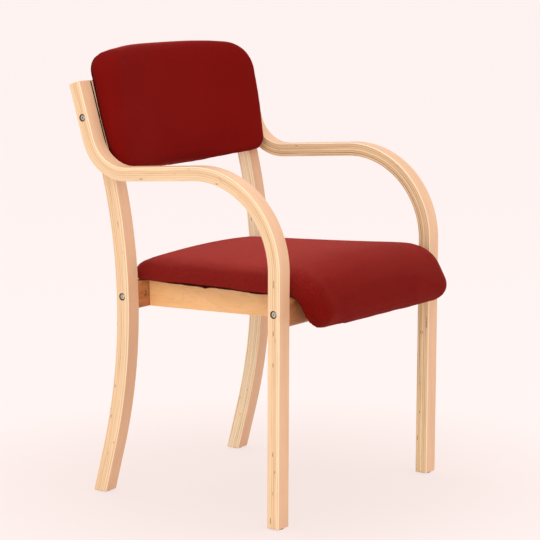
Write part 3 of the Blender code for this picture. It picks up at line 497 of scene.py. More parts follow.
def cutBores(piece, bores):
    bm = bmesh.new()
    for bore, mouth, inward in bores:
        addBore(bm, bore, mouth, inward)
    tidyMesh(bm)
    plugs = newObject("bores", bm)
    cut = piece.modifiers.new("bores", "BOOLEAN")
    cut.operation = "DIFFERENCE"
    cut.solver = "EXACT"
    cut.object = plugs
    applyModifiers(piece)
    mesh = plugs.data
    bpy.data.objects.remove(plugs, do_unlink=True)
    bpy.data.meshes.remove(mesh)


# the arm stands close beside the post above this height, and the faces of that gap get painted shade
upturnGap = dict(fromHeight=0.655, armSide=0.2424, postEdge=0.0003)


def notePly(piece, stretches, bores, gap):
    # where each point lies in the lamination, for the wood's pattern, and which points take the painted shade
    # of the bores and of the gap
    attributes = piece.data.attributes
    kinds = dict(plyPlace="FLOAT_VECTOR", boreShade="FLOAT", gapShade="FLOAT")
    for name, kind in kinds.items():
        attributes.new(name, kind, "POINT")
    place, shade, gapShadeMask = [attributes[name].data for name in kinds]
    for index, vert in enumerate(piece.data.vertices):
        along, off = placeAlong(stretches, vert.co.yz)
        place[index].vector = (vert.co.x, along, off)
        if gap[0] < vert.co.x < gap[1] and vert.co.z > upturnGap["fromHeight"]:
            gapShadeMask[index].value = 1.0
        for bore, mouth, inward in bores:
            reach = vert.co - mouth
            inside = reach.dot(inward)
            if (reach - inward * inside).length < bore["radius"] + bore["rim"] / 2 and inside > -mouthEase:
                shade[index].value = 1.0


def boreMouth(node, face):
    # the mouth of a bolt's bore lies on the outer face of the wood beside its head
    spot = middleOf(node)
    return Vector((face, spot.y, spot.z))


def layUp(plan, side, bores, gap):
    # one bent piece of the frame, with its bores cut and its pattern noted
    node = plan["nodes"] + side
    low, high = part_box(node)
    finish = plyFinish(plan, side, low.x, high.x)
    stretches = traceStretches(plan)
    piece = newPiece(plan["piece"] + side, bendLamination(plan, low.x, high.x, stretches), finish)
    cutBores(piece, bores)
    finishPiece(piece, finish)
    notePly(piece, stretches, bores, gap)
    piece.modifiers.new("evenShading", "WEIGHTED_NORMAL").keep_sharp = True
    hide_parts(node)


for side, way in sides.items():
    inward = Vector((-way, 0.0, 0.0))
    armFace = outerFace("arm_leg_" + side, way)
    rearFace = outerFace("rear_leg_" + side, way)
    gap = sorted((way * upturnGap["armSide"], rearFace - way * upturnGap["postEdge"]))
    bores = [(boltBore, boreMouth(node + side, armFace), inward) for node in ("front_bolt_", "upper_bolt_")]
    layUp(armPlan, side, bores, gap)
    bores = [(boltBore, boreMouth("rear_bolt_" + side, rearFace), inward)]
    for level, height in backBolts.items():
        across = middleOf("back_bolt_" + level + "_" + side).x
        bores.append((backBore, backFrame @ Vector((across, rearPlan["thickness"], height)), forwards))
    layUp(rearPlan, side, bores, gap)
print("arms and legs bent")


# red cloth

clothLook = dict(
    roughness=0.95, specular=0.06, sheenTint=(1.0, 0.18, 0.14, 1.0), thread=0.0026, crossThreads=2.0,
    slubScale=420.0, slubWeight=0.6, weaveWeight=0.045, toneScale=7.0, toneWeight=0.4,
    mainStep=(0.25, 0.55), wornStep=(0.50, 0.80), weaveBump=0.25, bump=0.00018,
)
backTones = dict(
    deep=srgb(106, 8, 5), main=srgb(115, 12, 8), worn=srgb(124, 18, 13),
    sheen=0.72, sheenRoughness=0.18, grain=0.55,
)
# the seat's cloth is the back's red painted lighter: painted light standing in for the brighter light on the
# seat
seatLitTones = dict(
    deep=srgb(120, 24, 19), main=srgb(130, 28, 23), worn=srgb(140, 34, 28),
    sheen=0.48, sheenRoughness=0.11, grain=3.0,
)
# painted light and shade on the seat's cloth: a paler top and a darker lip
seatLightAndShade = dict(
    lightStep=(0.25, 0.80), topLightDeep=srgb(154, 46, 41), topLight=srgb(178, 64, 59),
    topLightAlong=(0.27, 0.45, 0.80, 0.0), topLightAbove=(0.018, 0.036),
    lipShadeDeep=srgb(104, 8, 5), lip=srgb(120, 16, 11), lipShadeAlong=(0.395, 0.455, 0.0, 0.85),
)
# painted shade: a dark band along the seat's lower edge, where the cloth turns under
hemShadeLook = dict(
    colour=srgb(44, 2, 2), level=-0.0112, thin=0.0008, thick=0.0030,
    rise=(0.08, 0.17), fall=(0.262, 0.292, 1.0, 0.0), edge=(-0.0002, 0.0009, 1.0, 0.0),
)


def paintSeatLightAndShade(colour, shade, along, through):
    # painted light and shade: paler on the top, standing in for top light and sheen, and darker on the lip,
    # standing in for shade
    wear, hem = seatLightAndShade, hemShadeLook
    light = spread(shade, *wear["lightStep"])
    topLight = times(spread(along, *wear["topLightAlong"]), spread(through, *wear["topLightAbove"]))
    colour = mixed(topLight, colour, mixed(light, wear["topLightDeep"], wear["topLight"]))
    # painted shade: the lip is darkened where it faces down and away from the light
    lipShadeShare = spread(along, *wear["lipShadeAlong"])
    colour = mixed(lipShadeShare, colour, mixed(light, wear["lipShadeDeep"], wear["lip"]))

    # painted shade along the turned-under edge, deeper along the middle of the side
    deep = times(spread(along, *hem["rise"]), spread(along, *hem["fall"]))
    top = plus(times(deep, hem["thick"] - hem["thin"]), hem["level"] + hem["thin"])
    below = spread(minus(through, top), *hem["edge"])
    return mixed(below, colour, hem["colour"])


def clothFinish(name, tones, isSeat=False):
    # a fine twill that follows the cloth: x is across it, y along it, z through the pad
    look, grain = clothLook, tones["grain"]
    material, tree, surface = newFinish(
        name, look["roughness"], Sheen_Weight=tones["sheen"], Sheen_Roughness=tones["sheenRoughness"],
        Sheen_Tint=look["sheenTint"], Specular_IOR_Level=look["specular"],
    )
    place = put(tree, "Attribute", attribute_name="clothPlace").outputs["Vector"]
    across, along, through = put(tree, "SeparateXYZ", {"Vector": place}).outputs
    turns = 2 * pi / look["thread"]
    onward = plus(along, through)
    rib = calc("SINE", times(plus(across, onward), turns))
    crossing = calc("SINE", times(minus(across, onward), look["crossThreads"] * turns))
    weave = plus(times(rib, crossing), rib)
    slub = cloudy(place, look["slubScale"], 3.0)
    tone = cloudy(place, look["toneScale"], 2.0)
    middle = look["slubWeight"] / 2 * (1 - grain)  # keeps the mean shade whatever the grain
    shade = calc("MULTIPLY_ADD", slub, look["slubWeight"] * grain, middle)
    shade = calc("MULTIPLY_ADD", weave, look["weaveWeight"] * grain, shade)
    shade = calc("MULTIPLY_ADD", tone, look["toneWeight"], shade)
    colour = mixed(spread(shade, *look["mainStep"]), tones["deep"], tones["main"])
    colour = mixed(spread(shade, *look["wornStep"]), colour, tones["worn"])
    if isSeat:
        colour = paintSeatLightAndShade(colour, shade, along, through)
    addBump(surface, plus(times(weave, look["weaveBump"]), slub), look["bump"] * grain)
    linkTo(surface, Base_Color=colour)
    return material


redCloth = clothFinish("redCloth", backTones)
seatCloth = clothFinish("seatCloth", seatLitTones, isSeat=True)


# cushions: a rounded outline over a board, crowned and rolled at its rim, then swollen as cloth

swelling = dict(easing=2, frames=20, reach=0.005, settle=40, slack=0.003, slackRim=0.03)
clothSettings = dict(
    quality=5, mass=0.3, tension_stiffness=14.0, compression_stiffness=14.0, shear_stiffness=7.0,
    bending_stiffness=0.8, use_pressure=True, uniform_pressure_force=4.0, vertex_group_mass="held",
)
leastReach = 0.0001  # keeps a share from being divided by nothing


def cornerCut(radius, distance):
    if distance >= radius:
        return 0.0
    return radius - sqrt(max(radius * radius - (radius - distance) ** 2, 0.0))


def rimDistance(pad, half, s, t):
    fromSide = half(s) - abs(t)
    rim = min(s, pad["length"] - s, fromSide)
    for radius, distance in ((pad["cornerFirst"], s), (pad["cornerLast"], pad["length"] - s)):
        if distance < radius and fromSide < radius:
            rim = radius - hypot(radius - distance, radius - fromSide)
    return max(rim, 0.0)


def rollRise(pad, half, s, t, rim):
    # 0 at the rim and 1 past the roll, whose reach differs at the sides, the first end and the last
    fromSide = max(half(s) - abs(t), 0.0)
    fromEnd = max(min(s, pad["length"] - s), 0.0)
    sideways = smooth(fromSide / max(fromSide + fromEnd, leastReach))
    endRoll = pad["rollFirst"] if s < pad["length"] / 2 else pad["rollLast"]
    sideRoll = pad["rollSide"] if t < 0 else pad["rollFar"]
    reach = between(sideRoll, endRoll, sideways)
    return sqrt(1 - (1 - min(rim / reach, 1.0)) ** 2)


def padBody(pad, half, upperAt, lowerAt, placeAt):
    # a grid laid over the outline, made double by an extrusion and closed at the rim
    bm = bmesh.new()
    bmesh.ops.create_grid(bm, x_segments=pad["columns"], y_segments=pad["rows"], size=0.5)
    for vert in bm.verts:
        s = pad["length"] * (1 - cos(pi * (vert.co.y + 0.5))) / 2
        cut = cornerCut(pad["cornerFirst"], s) + cornerCut(pad["cornerLast"], pad["length"] - s)
        vert.co = ((half(s) - cut) * sin(pi * vert.co.x), s, 0.0)
    grown = bmesh.ops.extrude_face_region(bm, geom=bm.faces[:])["geom"]
    upper = set(item for item in grown if isinstance(item, bmesh.types.BMVert))
    for vert in bm.verts:
        t, s = vert.co.x, vert.co.y
        heightAt = upperAt if vert in upper else lowerAt
        vert.co = placeAt(s, t, heightAt(s, t))
    tidyMesh(bm)
    return bm


def flatAt(height):
    return lambda s, t: height


def drawnIn(pad, **changes):
    # the plan of a piece whose outline lies an inset inside that of the pad
    plan = dict(pad, **changes)
    plan["length"] = pad["length"] - 2 * plan["inset"]
    for corner in ("cornerFirst", "cornerLast"):
        plan[corner] = pad[corner] - plan["inset"]
    return plan


def innerHalf(half, inset):
    return lambda s: half(s + inset) - inset


def innerBody(plan, half, upperAt, lowerAt, placeAt):
    inset = plan["inset"]
    return padBody(plan, innerHalf(half, inset), upperAt, lowerAt, lambda s, t, h: placeAt(s + inset, t, h))


def easeVerts(bm, verts, turns):
    for turn in range(turns):
        bmesh.ops.smooth_vert(bm, verts=verts, factor=0.5, use_axis_x=True, use_axis_y=True, use_axis_z=True)


def easePart(piece, turns, isEased=lambda spot: True):
    bm = meshOf(piece)
    easeVerts(bm, [vert for vert in bm.verts if isEased(vert.co)], turns)
    bm.to_mesh(piece.data)
    bm.free()


def blowUp(piece, pad, findAt):
    # where the points of the cloth lie after a few frames of pressure from inside
    held = piece.vertex_groups.new(name="held")
    low = [vert.index for vert in piece.data.vertices if findAt(vert.co)[2] < pad["heldBelow"]]
    held.add(low, 1.0, "REPLACE")
    cloth = piece.modifiers.new("swell", "CLOTH")
    for name, value in clothSettings.items():
        setattr(cloth.settings, name, value)
    cloth.settings.effector_weights.gravity = 0.0
    cloth.collision_settings.use_collision = False
    cloth.point_cache.frame_start = 1
    cloth.point_cache.frame_end = pad["frames"]
    for step in range(1, pad["frames"] + 1):
        scene.frame_set(step)
    shown = piece.evaluated_get(bpy.context.evaluated_depsgraph_get())
    moved = [vert.co.copy() for vert in shown.data.vertices]
    piece.modifiers.remove(cloth)
    piece.vertex_groups.remove(held)
    scene.frame_set(1)
    return moved


def swell(piece, pad, findAt):
    # the cloth is held on the board and blown up a little, each point by no more than a set reach
    remesh = piece.modifiers.new("even", "REMESH")
    remesh.mode = "VOXEL"
    remesh.voxel_size = pad["voxel"]
    remesh.adaptivity = 0.0
    applyModifiers(piece)
    easePart(piece, pad["easing"])
    start = [vert.co.copy() for vert in piece.data.vertices]
    moved = blowUp(piece, pad, findAt)
    # the moves are capped and evened out, so the cloth swells without creasing
    bm = meshOf(piece)
    for vert, old, new in zip(bm.verts, start, moved):
        step = new - old
        if step.length > pad["reach"]:
            step *= pad["reach"] / step.length
        vert.co = step
    easeVerts(bm, bm.verts[:], pad["settle"])
    for vert, old, step in zip(piece.data.vertices, start, bm.verts):
        vert.co = old + step.co
    most = max(vert.co.length for vert in bm.verts)
    bm.free()
    print(piece.name, "swelled by up to", round(1000 * most, 1), "mm")


def noteCloth(piece, findAt):
    mesh = piece.data
    place = mesh.attributes.new("clothPlace", "FLOAT_VECTOR", "POINT")
    for index, vert in enumerate(mesh.vertices):
        s, t, h = findAt(vert.co)
        place.data[index].vector = (t, s, h)


def sewUp(piece, finish, findAt):
    noteCloth(piece, findAt)
    finishPiece(piece, finish, sharpAngle=180.0)
    soft = piece.modifiers.new("soft", "SUBSURF")
    soft.levels = 1
    soft.render_levels = 1


# seat: length is measured along the board from its rear edge, round the bend and down the lip

seatPad = dict(
    swelling, rearEdge=0.2132, flat=0.40476, bendRadius=0.034, bendTurn=radians(64.0), lip=0.0585,
    lipEven=0.985, lipTilt=0.17, lipWave=0.020, waveCount=24.0, waveSeed=(0.6, 0.2),
    rearHalf=0.1885, frontHalf=0.2358, lipHalf=0.2215, cornerFirst=0.036, cornerLast=0.030,
    padRear=0.0295, padMiddle=0.0305, padFront=0.0348, padLip=0.0380, padEdge=0.0055,
    rollSide=0.042, rollFar=0.042, rollFirst=0.062, rollLast=0.042,
    crownRear=0.0140, crownFront=0.0080, crownReach=0.100, boardTop=0.0389, under=0.0115, heldBelow=-0.008,
    leastAbove=0.001, hem=0.0018, hemFirst=0.070, hemLast=0.355, hemEase=0.020, hemWide=0.006, hemFade=0.010,
    columns=70, rows=90, voxel=0.0050,
)
seatPad["bendLength"] = seatPad["bendRadius"] * seatPad["bendTurn"]
seatPad["length"] = seatPad["flat"] + seatPad["bendLength"] + seatPad["lip"]
looseHem = dict(
    first=0.05, last=0.37, rim=0.002, rimEase=0.009, depth=0.003, depthEase=0.006,
    wave=0.0005, waveCount=55.0, sideSeed=3.0, waveSeed=0.4,
    sag=0.0016, sagFirst=0.285, sagRise=0.025, sagLast=0.335, sagFall=0.03,
    tag=0.0040, tagAt=0.200, tagHalf=0.0045,
)
frontBolt = middleOf("front_bolt_right")
rearBolt = middleOf("rear_bolt_right")
seatTilt = atan2(frontBolt.z - rearBolt.z, rearBolt.y - frontBolt.y)
seatSpot = Vector((0.0, (frontBolt.y + rearBolt.y) / 2, (frontBolt.z + rearBolt.z) / 2))
seatFrame = Matrix.Translation(seatSpot) @ Matrix.Rotation(-seatTilt, 4, "X")


def seatHalf(s):
    pad = seatPad
    if s <= pad["flat"]:
        return between(pad["rearHalf"], pad["frontHalf"], s / pad["flat"])
    share = (s - pad["flat"]) / (pad["length"] - pad["flat"])
    return between(pad["frontHalf"], pad["lipHalf"], share)


def seatHeight(s, t):
    pad = seatPad
    rim = rimDistance(pad, seatHalf, s, t)
    share = min(s / pad["flat"], 1.0)
    rear, middle, front = pad["padRear"], pad["padMiddle"], pad["padFront"]
    thick = rear + (4 * middle - 3 * rear - front) * share + (2 * rear + 2 * front - 4 * middle) * share ** 2
    thick += (pad["padLip"] - front) * ramp(s, pad["flat"], pad["bendLength"] + pad["lip"])
    crown = between(pad["crownRear"], pad["crownFront"], share)
    thick += crown * (1 - (t / seatHalf(s)) ** 2) * smooth(rim / pad["crownReach"])
    thick -= pad["slack"] * smooth(rim / pad["slackRim"])  # room for the cloth to swell
    return between(pad["padEdge"], thick, rollRise(pad, seatHalf, s, t, rim))


def seatUnder(s, t):
    # the cloth reaches a little below the board between the two cross rails
    pad = seatPad
    rim = rimDistance(pad, seatHalf, s, t)
    inside = ramp(s, pad["hemFirst"], pad["hemEase"]) * (1 - ramp(s, pad["hemLast"], pad["hemEase"]))
    return -pad["under"] - pad["hem"] * inside * (1 - ramp(rim, pad["hemWide"], pad["hemFade"]))


def seatPlace(s, t, h):
    pad = seatPad
    flat, radius, turn = pad["flat"], pad["bendRadius"], pad["bendTurn"]
    angle = min(max((s - flat) / radius, 0.0), turn)
    beyond = max(s - flat - pad["bendLength"], 0.0)
    wave = noise.noise(Vector((pad["waveCount"] * t, *pad["waveSeed"])))
    beyond *= pad["lipEven"] + pad["lipTilt"] * t + pad["lipWave"] * wave
    y = pad["rearEdge"] - min(s, flat) - (radius + h) * sin(angle)
    z = pad["boardTop"] - radius + (radius + h) * cos(angle)
    return seatFrame @ Vector((t, y - beyond * cos(turn), z - beyond * sin(turn)))


def seatFind(spot):
    # the other way round: length, sideways and height above the board of a point
    pad = seatPad
    flat, radius, turn = pad["flat"], pad["bendRadius"], pad["bendTurn"]
    local = seatFrame.inverted() @ spot
    ahead = pad["rearEdge"] - flat - local.y
    above = local.z - pad["boardTop"] + radius
    if ahead <= 0.0:
        return pad["rearEdge"] - local.y, local.x, local.z - pad["boardTop"]
    angle = atan2(ahead, max(above, pad["leastAbove"]))
    if angle <= turn:
        return flat + radius * angle, local.x, hypot(ahead, above) - radius
    s = flat + pad["bendLength"] + ahead * cos(turn) - above * sin(turn)
    return s, local.x, ahead * sin(turn) + above * cos(turn) - radius


def dropHem(piece):
    # the stapled edge hangs lower near the front of the near side, with one small loose tag behind
    hem = looseHem
    for vert in piece.data.vertices:
        s, t, h = seatFind(vert.co)
        rim = seatHalf(s) - abs(t)
        weight = (1 - ramp(rim, hem["rim"], hem["rimEase"])) * ramp(-h, hem["depth"], hem["depthEase"])
        if weight == 0.0 or not hem["first"] < s < hem["last"]:
            continue
        wave = Vector((hem["waveCount"] * s, hem["sideSeed"] * copysign(1.0, t), hem["waveSeed"]))
        low = hem["wave"] * noise.noise(wave)
        if t < 0:
            sag = ramp(s, hem["sagFirst"], hem["sagRise"]) * (1 - ramp(s, hem["sagLast"], hem["sagFall"]))
            low += hem["sag"] * sag
            low += hem["tag"] * max(1 - abs(s - hem["tagAt"]) / hem["tagHalf"], 0.0)
        vert.co -= seatFrame.to_3x3() @ Vector((0.0, 0.0, low * weight))


body = padBody(seatPad, seatHalf, seatHeight, seatUnder, seatPlace)
seat = newPiece("seatCushion", body, seatCloth)
swell(seat, seatPad, seatFind)
dropHem(seat)
sewUp(seat, seatCloth, seatFind)
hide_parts("seat_cover", "seat_foam")
print("seat cushion made")


# back: length is measured up the posts from the lower edge, and the board bows back between the posts

backPad = dict(
    swelling, length=0.2506, below=0.1280, above=0.1226, topCrown=0.0278, nearBow=0.0115, farBow=0.0065,
    topTilt=0.0022, topShift=0.0030, nearBulge=0.0040, nearSpan=0.8,
    farBulge=0.0045, farMiddle=0.25, farSpan=1.15, farTop=0.825,
    bottomHalf=0.2355, topHalf=0.2395, cornerFirst=0.0180, cornerLast=0.0387,
    dish=0.033, dishHalf=0.188, faceDish=0.028, thick=0.0311, wedge=0.0220, padEdge=0.0050,
    rollSide=0.040, rollFar=0.022, rollFirst=0.018, rollLast=0.024,
    board=0.009, stack=0.0033, under=0.0105, heldBelow=-0.007, easedBelow=-0.004, edgeEasing=8,
    columns=80, rows=60, voxel=0.0045,
)
backFace = dict(backPad, cornerFirst=0.027, cornerLast=0.062)  # the padding has rounder corners


def backHalf(s):
    return between(backPad["bottomHalf"], backPad["topHalf"], s / backPad["length"])


def backDish(t):
    if abs(t) >= backPad["dishHalf"]:
        return 0.0
    return backPad["dish"] * cos(pi / 2 * t / backPad["dishHalf"]) ** 2


def backEdges(t):
    # the heights of the lower and upper edges, each bowed towards its corners
    share = min(abs(t) / backPad["topHalf"], 1.0) ** 2
    lower = -backPad["below"] + backPad["nearBow" if t < 0 else "farBow"] * share ** 2
    return lower, backPad["above"] - backPad["topCrown"] * share - backPad["topTilt"] * t / backPad["topHalf"]


def backShift(t, rise):
    # sideways: the pad leans a little to the left and its sides bulge, each in its own way
    pad = backPad
    rise = min(max(rise, 0.0), 1.0)
    if t < 0:
        bulge = -pad["nearBulge"] * sin(pi * min(rise / pad["nearSpan"], 1.0))
    else:
        turn = (min(rise, pad["farTop"]) - pad["farMiddle"]) / pad["farSpan"]
        bulge = pad["farBulge"] * sin(2 * pi * turn)
    return pad["topShift"] * rise + bulge * min(abs(t) / pad["topHalf"], 1.0) ** 2


def backPlace(s, t, h):
    pad = backPad
    lower, upper = backEdges(t)
    y = -pad["stack"] - pad["board"] + backDish(t) - h
    rise = s / pad["length"]
    return backFrame @ Vector((t + backShift(t, rise), y, between(lower, upper, rise)))


def backFind(spot):
    pad = backPad
    local = backFrame.inverted() @ spot
    lower, upper = backEdges(local.x)
    rise = (local.z - lower) / (upper - lower)
    t = local.x - backShift(local.x, rise)
    return rise * pad["length"], t, -pad["stack"] - pad["board"] + backDish(t) - local.y


def backHeight(s, t):
    pad = backPad
    rim = rimDistance(backFace, backHalf, s, t)
    thick = pad["thick"] + pad["wedge"] * (s / pad["length"] - 0.5)
    thick += backDish(t) - pad["faceDish"] * (1 - (t / pad["topHalf"]) ** 2)
    thick -= pad["slack"] * smooth(rim / pad["slackRim"])
    return between(pad["padEdge"], thick, rollRise(pad, backHalf, s, t, rim))


body = padBody(backPad, backHalf, backHeight, flatAt(-backPad["under"]), backPlace)
back = newPiece("backCushion", body, redCloth)
swell(back, backPad, backFind)
easePart(back, backPad["edgeEasing"], lambda spot: backFind(spot)[2] < backPad["easedBelow"])
sewUp(back, redCloth, backFind)
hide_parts("back_cover", "back_foam")
print("back cushion made")


# rear panel of the back: cloth over thin wadding, between the posts and a little in from the rim

rearPanel = drawnIn(
    backPad, inset=0.0043, inner=-0.0108, outer=-0.0120, puff=0.0028, puffReach=0.030,
    postInner=0.198, postEase=0.020, columns=70, rows=36,
)
panelHalf = innerHalf(backHalf, rearPanel["inset"])


def panelRear(s, t):
    panel = rearPanel
    rim = rimDistance(panel, panelHalf, s, t)
    clear = smooth((panel["postInner"] - abs(t)) / panel["postEase"])
    return panel["outer"] - panel["puff"] * smooth(rim / panel["puffReach"]) * clear


body = innerBody(rearPanel, backHalf, flatAt(rearPanel["inner"]), panelRear, backPlace)
panel = newPiece("backRearPanel", body, redCloth, sharpAngle=60.0)
noteCloth(panel, backFind)
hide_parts("back_rear_cover")
print("rear panel made")


# moulded board inside the back, drawn in behind the rounded rear edge of its cover

innerBoard = drawnIn(backPad, inset=0.0075, front=0.0, rear=-0.0090, columns=70, rows=36)
faces = flatAt(innerBoard["front"]), flatAt(innerBoard["rear"])
body = innerBody(innerBoard, backHalf, *faces, backPlace)
board = newPiece("backBoard", body, boardWood)
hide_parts("back_board")
print("back board made")


# black lining pulled flat under the seat board

liningLook = dict(
    dark=srgb(20, 19, 19), light=srgb(46, 44, 43), roughness=0.95, specular=0.1,
    fibreScale=900.0, fibreStep=(0.35, 0.75), pointScale=520.0, bump=0.0002,
)
liningPlan = drawnIn(
    dict(seatPad, length=seatPad["flat"]), inset=0.0150, upper=-0.0121, lower=-0.0129, columns=80, rows=70,
)
liningPlan["cornerLast"] = 0.004  # nearly square at the bend
liningHalf = innerHalf(seatHalf, liningPlan["inset"])


def liningFinish(name):
    look = liningLook
    material, tree, surface = newFinish(name, look["roughness"], Specular_IOR_Level=look["specular"])
    place = objectPlace(tree)
    fibre = cloudy(place, look["fibreScale"], 4.0)
    point = put(tree, "TexVoronoi", {"Vector": place, "Scale": look["pointScale"]}).outputs["Distance"]
    colour = mixed(spread(fibre, *look["fibreStep"]), look["dark"], look["light"])
    addBump(surface, plus(fibre, point), look["bump"])
    linkTo(surface, Base_Color=colour)
    return material


faces = flatAt(liningPlan["upper"]), flatAt(liningPlan["lower"])
body = innerBody(liningPlan, seatHalf, *faces, seatPlace)
lining = newPiece("seatLining", body, liningFinish("blackLining"), sharpAngle=60.0)
liningCut = (2 * liningHalf(liningPlan["length"]), liningPlan["length"])
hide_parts("seat_lining")
print("lining stretched")


# socket screws: a chamfered head with a hexagon socket, and a plain shank

frameScrew = dict(
    head=0.0055, headHeight=0.0075, chamfer=0.0007, socket=0.005, socketDepth=0.004, shank=0.003, steps=48,
)
backScrew = dict(
    head=0.0050, headHeight=0.0050, chamfer=0.0005, socket=0.004, socketDepth=0.0025, shank=0.003, steps=48,
    length=0.039,
)
metalLook = dict(
    metallic=1.0, cloudScale=260.0, cloudStep=(0.35, 0.70),
    scuffScale=(2400.0, 300.0, 2400.0), scuffStep=(0.3, 0.7), polish=0.06, wear=0.12, bump=0.00004,
)
plasticLook = dict(
    metallic=0.0, cloudScale=300.0, cloudStep=None,
    scuffScale=2500.0, scuffStep=(0.3, 0.7), polish=0.08, wear=0.10, bump=0.00005,
)


def hardFinish(name, look, first, second, roughness):
    # metal or plastic, clouded between two colours and finely scuffed
    material, tree, surface = newFinish(name, roughness, Metallic=look["metallic"])
    place = objectPlace(tree)
    cloud = cloudy(place, look["cloudScale"], 3.0)
    scuff = cloudy(place, look["scuffScale"], 2.0)
    if look["cloudStep"]:
        cloud = spread(cloud, *look["cloudStep"])
    gloss = spread(scuff, *look["scuffStep"], roughness - look["polish"], roughness + look["wear"])
    addBump(surface, scuff, look["bump"])
    linkTo(surface, Base_Color=mixed(cloud, first, second), Roughness=gloss)
    return material


steel = hardFinish("steel", metalLook, (0.70, 0.66, 0.59, 1.0), (0.42, 0.39, 0.34, 1.0), 0.28)
zinc = hardFinish("zinc", metalLook, (0.60, 0.58, 0.53, 1.0), (0.42, 0.41, 0.39, 1.0), 0.38)


def socketScrew(screw, length):
    # stands on z with the face of its head at 0 and its shank going down
    bm = bmesh.new()
    made = bmesh.ops.create_circle(bm, cap_ends=True, segments=screw["steps"], radius=screw["shank"])
    bmesh.ops.translate(bm, verts=made["verts"], vec=(0.0, 0.0, -length))
    end = bm.faces[:][0]
    head, chamfer = screw["head"], screw["chamfer"]
    for lift, scale in (
        (length - screw["headHeight"], 1.0), (0.0, head / screw["shank"]),
        (screw["headHeight"] - chamfer, 1.0), (chamfer, 1 - chamfer / head),
        (0.0, screw["socket"] / head / 2),
    ):
        end, ring = growFace(bm, end, lift, scale)
    for vert in ring:
        turn = atan2(vert.co.y, vert.co.x) % (pi / 3) - pi / 6
        flat = screw["socket"] / 2 / cos(turn)
        vert.co.xy = vert.co.xy.normalized() * flat
    growFace(bm, end, -screw["socketDepth"])
    tidyMesh(bm)
    return bm


def addScrew(name, node, screw, headFace, outward, length):
    bm = socketScrew(screw, length)
    turn = outward.to_track_quat("Z", "Y").to_matrix().to_4x4()
    bmesh.ops.transform(bm, matrix=Matrix.Translation(headFace) @ turn, verts=bm.verts[:])
    piece = newPiece(name, bm, steel, sharpAngle=30.0)
    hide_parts(node)


headDepth = backBore["depth"] - backScrew["headHeight"]
for side, way in sides.items():
    outward = Vector((way, 0.0, 0.0))
    for place in ("front", "rear", "upper"):
        node = place + "_bolt_" + side
        low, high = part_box(node)
        headFace = boreMouth(node, outerFace(node, way))
        addScrew(place + "Screw_" + side, node, frameScrew, headFace, outward, high.x - low.x)
    for level, height in backBolts.items():
        node = "back_bolt_" + level + "_" + side
        headFace = backFrame @ Vector((middleOf(node).x, rearPlan["thickness"] - headDepth, height))
        addScrew(level + "BackScrew_" + side, node, backScrew, headFace, backwards, backScrew["length"])
print("screws set")


# finishes for the CAD pieces that stay as they are

darkPlastic = hardFinish("darkPlastic", plasticLook, srgb(38, 37, 36), srgb(58, 56, 54), 0.5)
# the arm spacers are dark plastic, tinted brown to match the painted shade of the gap they sit in
spacerShadedPlastic = hardFinish("spacerShadedPlastic", plasticLook, srgb(30, 22, 17), srgb(40, 30, 23), 0.7)
nodeFinishes = {
    "side_rail": sideRail, "front_rail": shadedCrossRail, "rear_rail": shadedRearRail, "seat_board": boardWood,
    "dowel": boardWood, "barrel_nut": zinc, "tee_nut": zinc, "post_insert": zinc,
    "seat_screw": zinc, "arm_spacer": spacerShadedPlastic, "glide": darkPlastic,
}
for name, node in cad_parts.items():
    for start, finish in nodeFinishes.items():
        if name.startswith(start):
            for place in node.material_slots:
                place.material = finish
print("rails, nuts and glides finished")


# floor, light and camera

stage = dict(
    back=srgb(255, 245, 243), near=srgb(252, 237, 234), floor=srgb(236, 220, 215), roughness=0.9, plain=0.80,
    nearReach=0.25, farReach=0.95, farLift=1.035, size=60.0, drop=0.0005,
)
studioLight = dict(room=(1.0, 0.985, 0.97, 1.0), strength=0.935)
lamps = dict(
    key=dict(place=(-3.2, -1.8, 1.7), aim=(0.0, 0.0, 0.40), size=3.0, power=33.0),
    top=dict(place=(0.2, 0.3, 3.4), aim=(0.0, 0.0, 0.4), size=2.4, power=25.0),
    front=dict(place=(1.0, -3.7, 1.9), aim=(0.0, 0.0, 0.5), size=2.4, power=17.0),
)
view = dict(
    place=(-3.61254, -2.55668, 1.13050), azimuth=-54.811, elevation=9.047, roll=-0.171,
    lens=153.99, sensor=36.0, farthest=200.0,
)


def seenPlain(tree):
    # 1 for what the camera sees, also in gloss and through glass, and 0 for light on the chair
    ray = put(tree, "LightPath").outputs
    seen = calc("MAXIMUM", ray["Is Camera Ray"], ray["Is Glossy Ray"])
    return calc("MAXIMUM", seen, ray["Is Transmission Ray"])


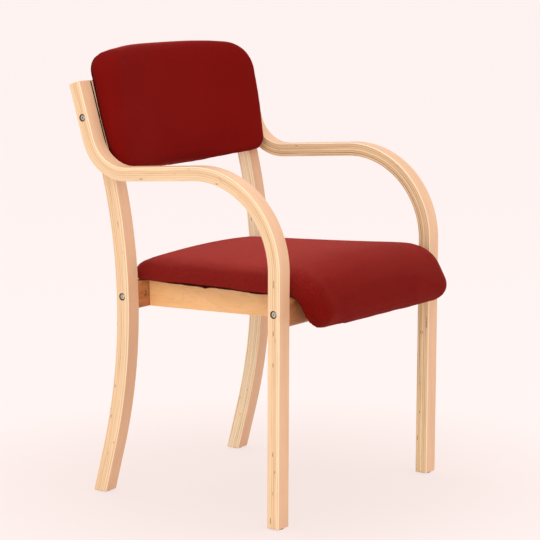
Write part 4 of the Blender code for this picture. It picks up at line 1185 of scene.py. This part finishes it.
def blendInto(tree, output, share, first, second):
    blend = put(tree, "MixShader", {0: share, 1: first.outputs[0], 2: second.outputs[0]})
    tree.links.new(blend.outputs[0], tree.nodes[output].inputs["Surface"])


bm = bmesh.new()
bmesh.ops.create_grid(bm, x_segments=1, y_segments=1, size=stage["size"] / 2)
floor = newObject("floor", bm)
floor.location.z = -stage["drop"]
paper, tree, surface = newFinish("floorPaper", stage["roughness"], Base_Color=stage["floor"])
# painted shade: the floor's glow is darker near the chair and a little brighter farther off
away = put(tree, "VectorMath", {0: objectPlace(tree)}, operation="LENGTH").outputs["Value"]
away = spread(away, stage["nearReach"], stage["farReach"])
glow = put(tree, "Emission", {
    "Color": mixed(away, stage["near"], stage["back"]),
    "Strength": spread(away, 0.0, 1.0, 1.0, stage["farLift"]),
})
blendInto(tree, "Material Output", times(seenPlain(tree), stage["plain"]), surface, glow)
floor.data.materials.append(paper)

sky = bpy.data.worlds.new("studio")
scene.world = sky
sky.use_nodes = True
tree = sky.node_tree
lit = put(tree, "Background", {"Color": studioLight["room"], "Strength": studioLight["strength"]})
shown = put(tree, "Background", {"Color": stage["back"], "Strength": 1.0})
blendInto(tree, "World Output", seenPlain(tree), lit, shown)

for name, lamp in lamps.items():
    light = bpy.data.lights.new(name, "AREA")
    light.size = lamp["size"]
    light.energy = lamp["power"]
    holder = bpy.data.objects.new(name, light)
    holder.location = lamp["place"]
    holder.rotation_euler = (Vector(lamp["aim"]) - Vector(lamp["place"])).to_track_quat("-Z", "Y").to_euler()
    scene.collection.objects.link(holder)

eye = bpy.data.cameras.new("photoView")
eye.lens = view["lens"]
eye.sensor_width = view["sensor"]
eye.clip_end = view["farthest"]
camera = bpy.data.objects.new("photoView", eye)
turn = Matrix.Rotation(radians(view["azimuth"]), 4, "Z")
turn = turn @ Matrix.Rotation(radians(90.0 - view["elevation"]), 4, "X")
turn = turn @ Matrix.Rotation(radians(view["roll"]), 4, "Z")
camera.matrix_world = Matrix.Translation(view["place"]) @ turn
scene.collection.objects.link(camera)
scene.camera = camera
print("floor, lamps and camera set")
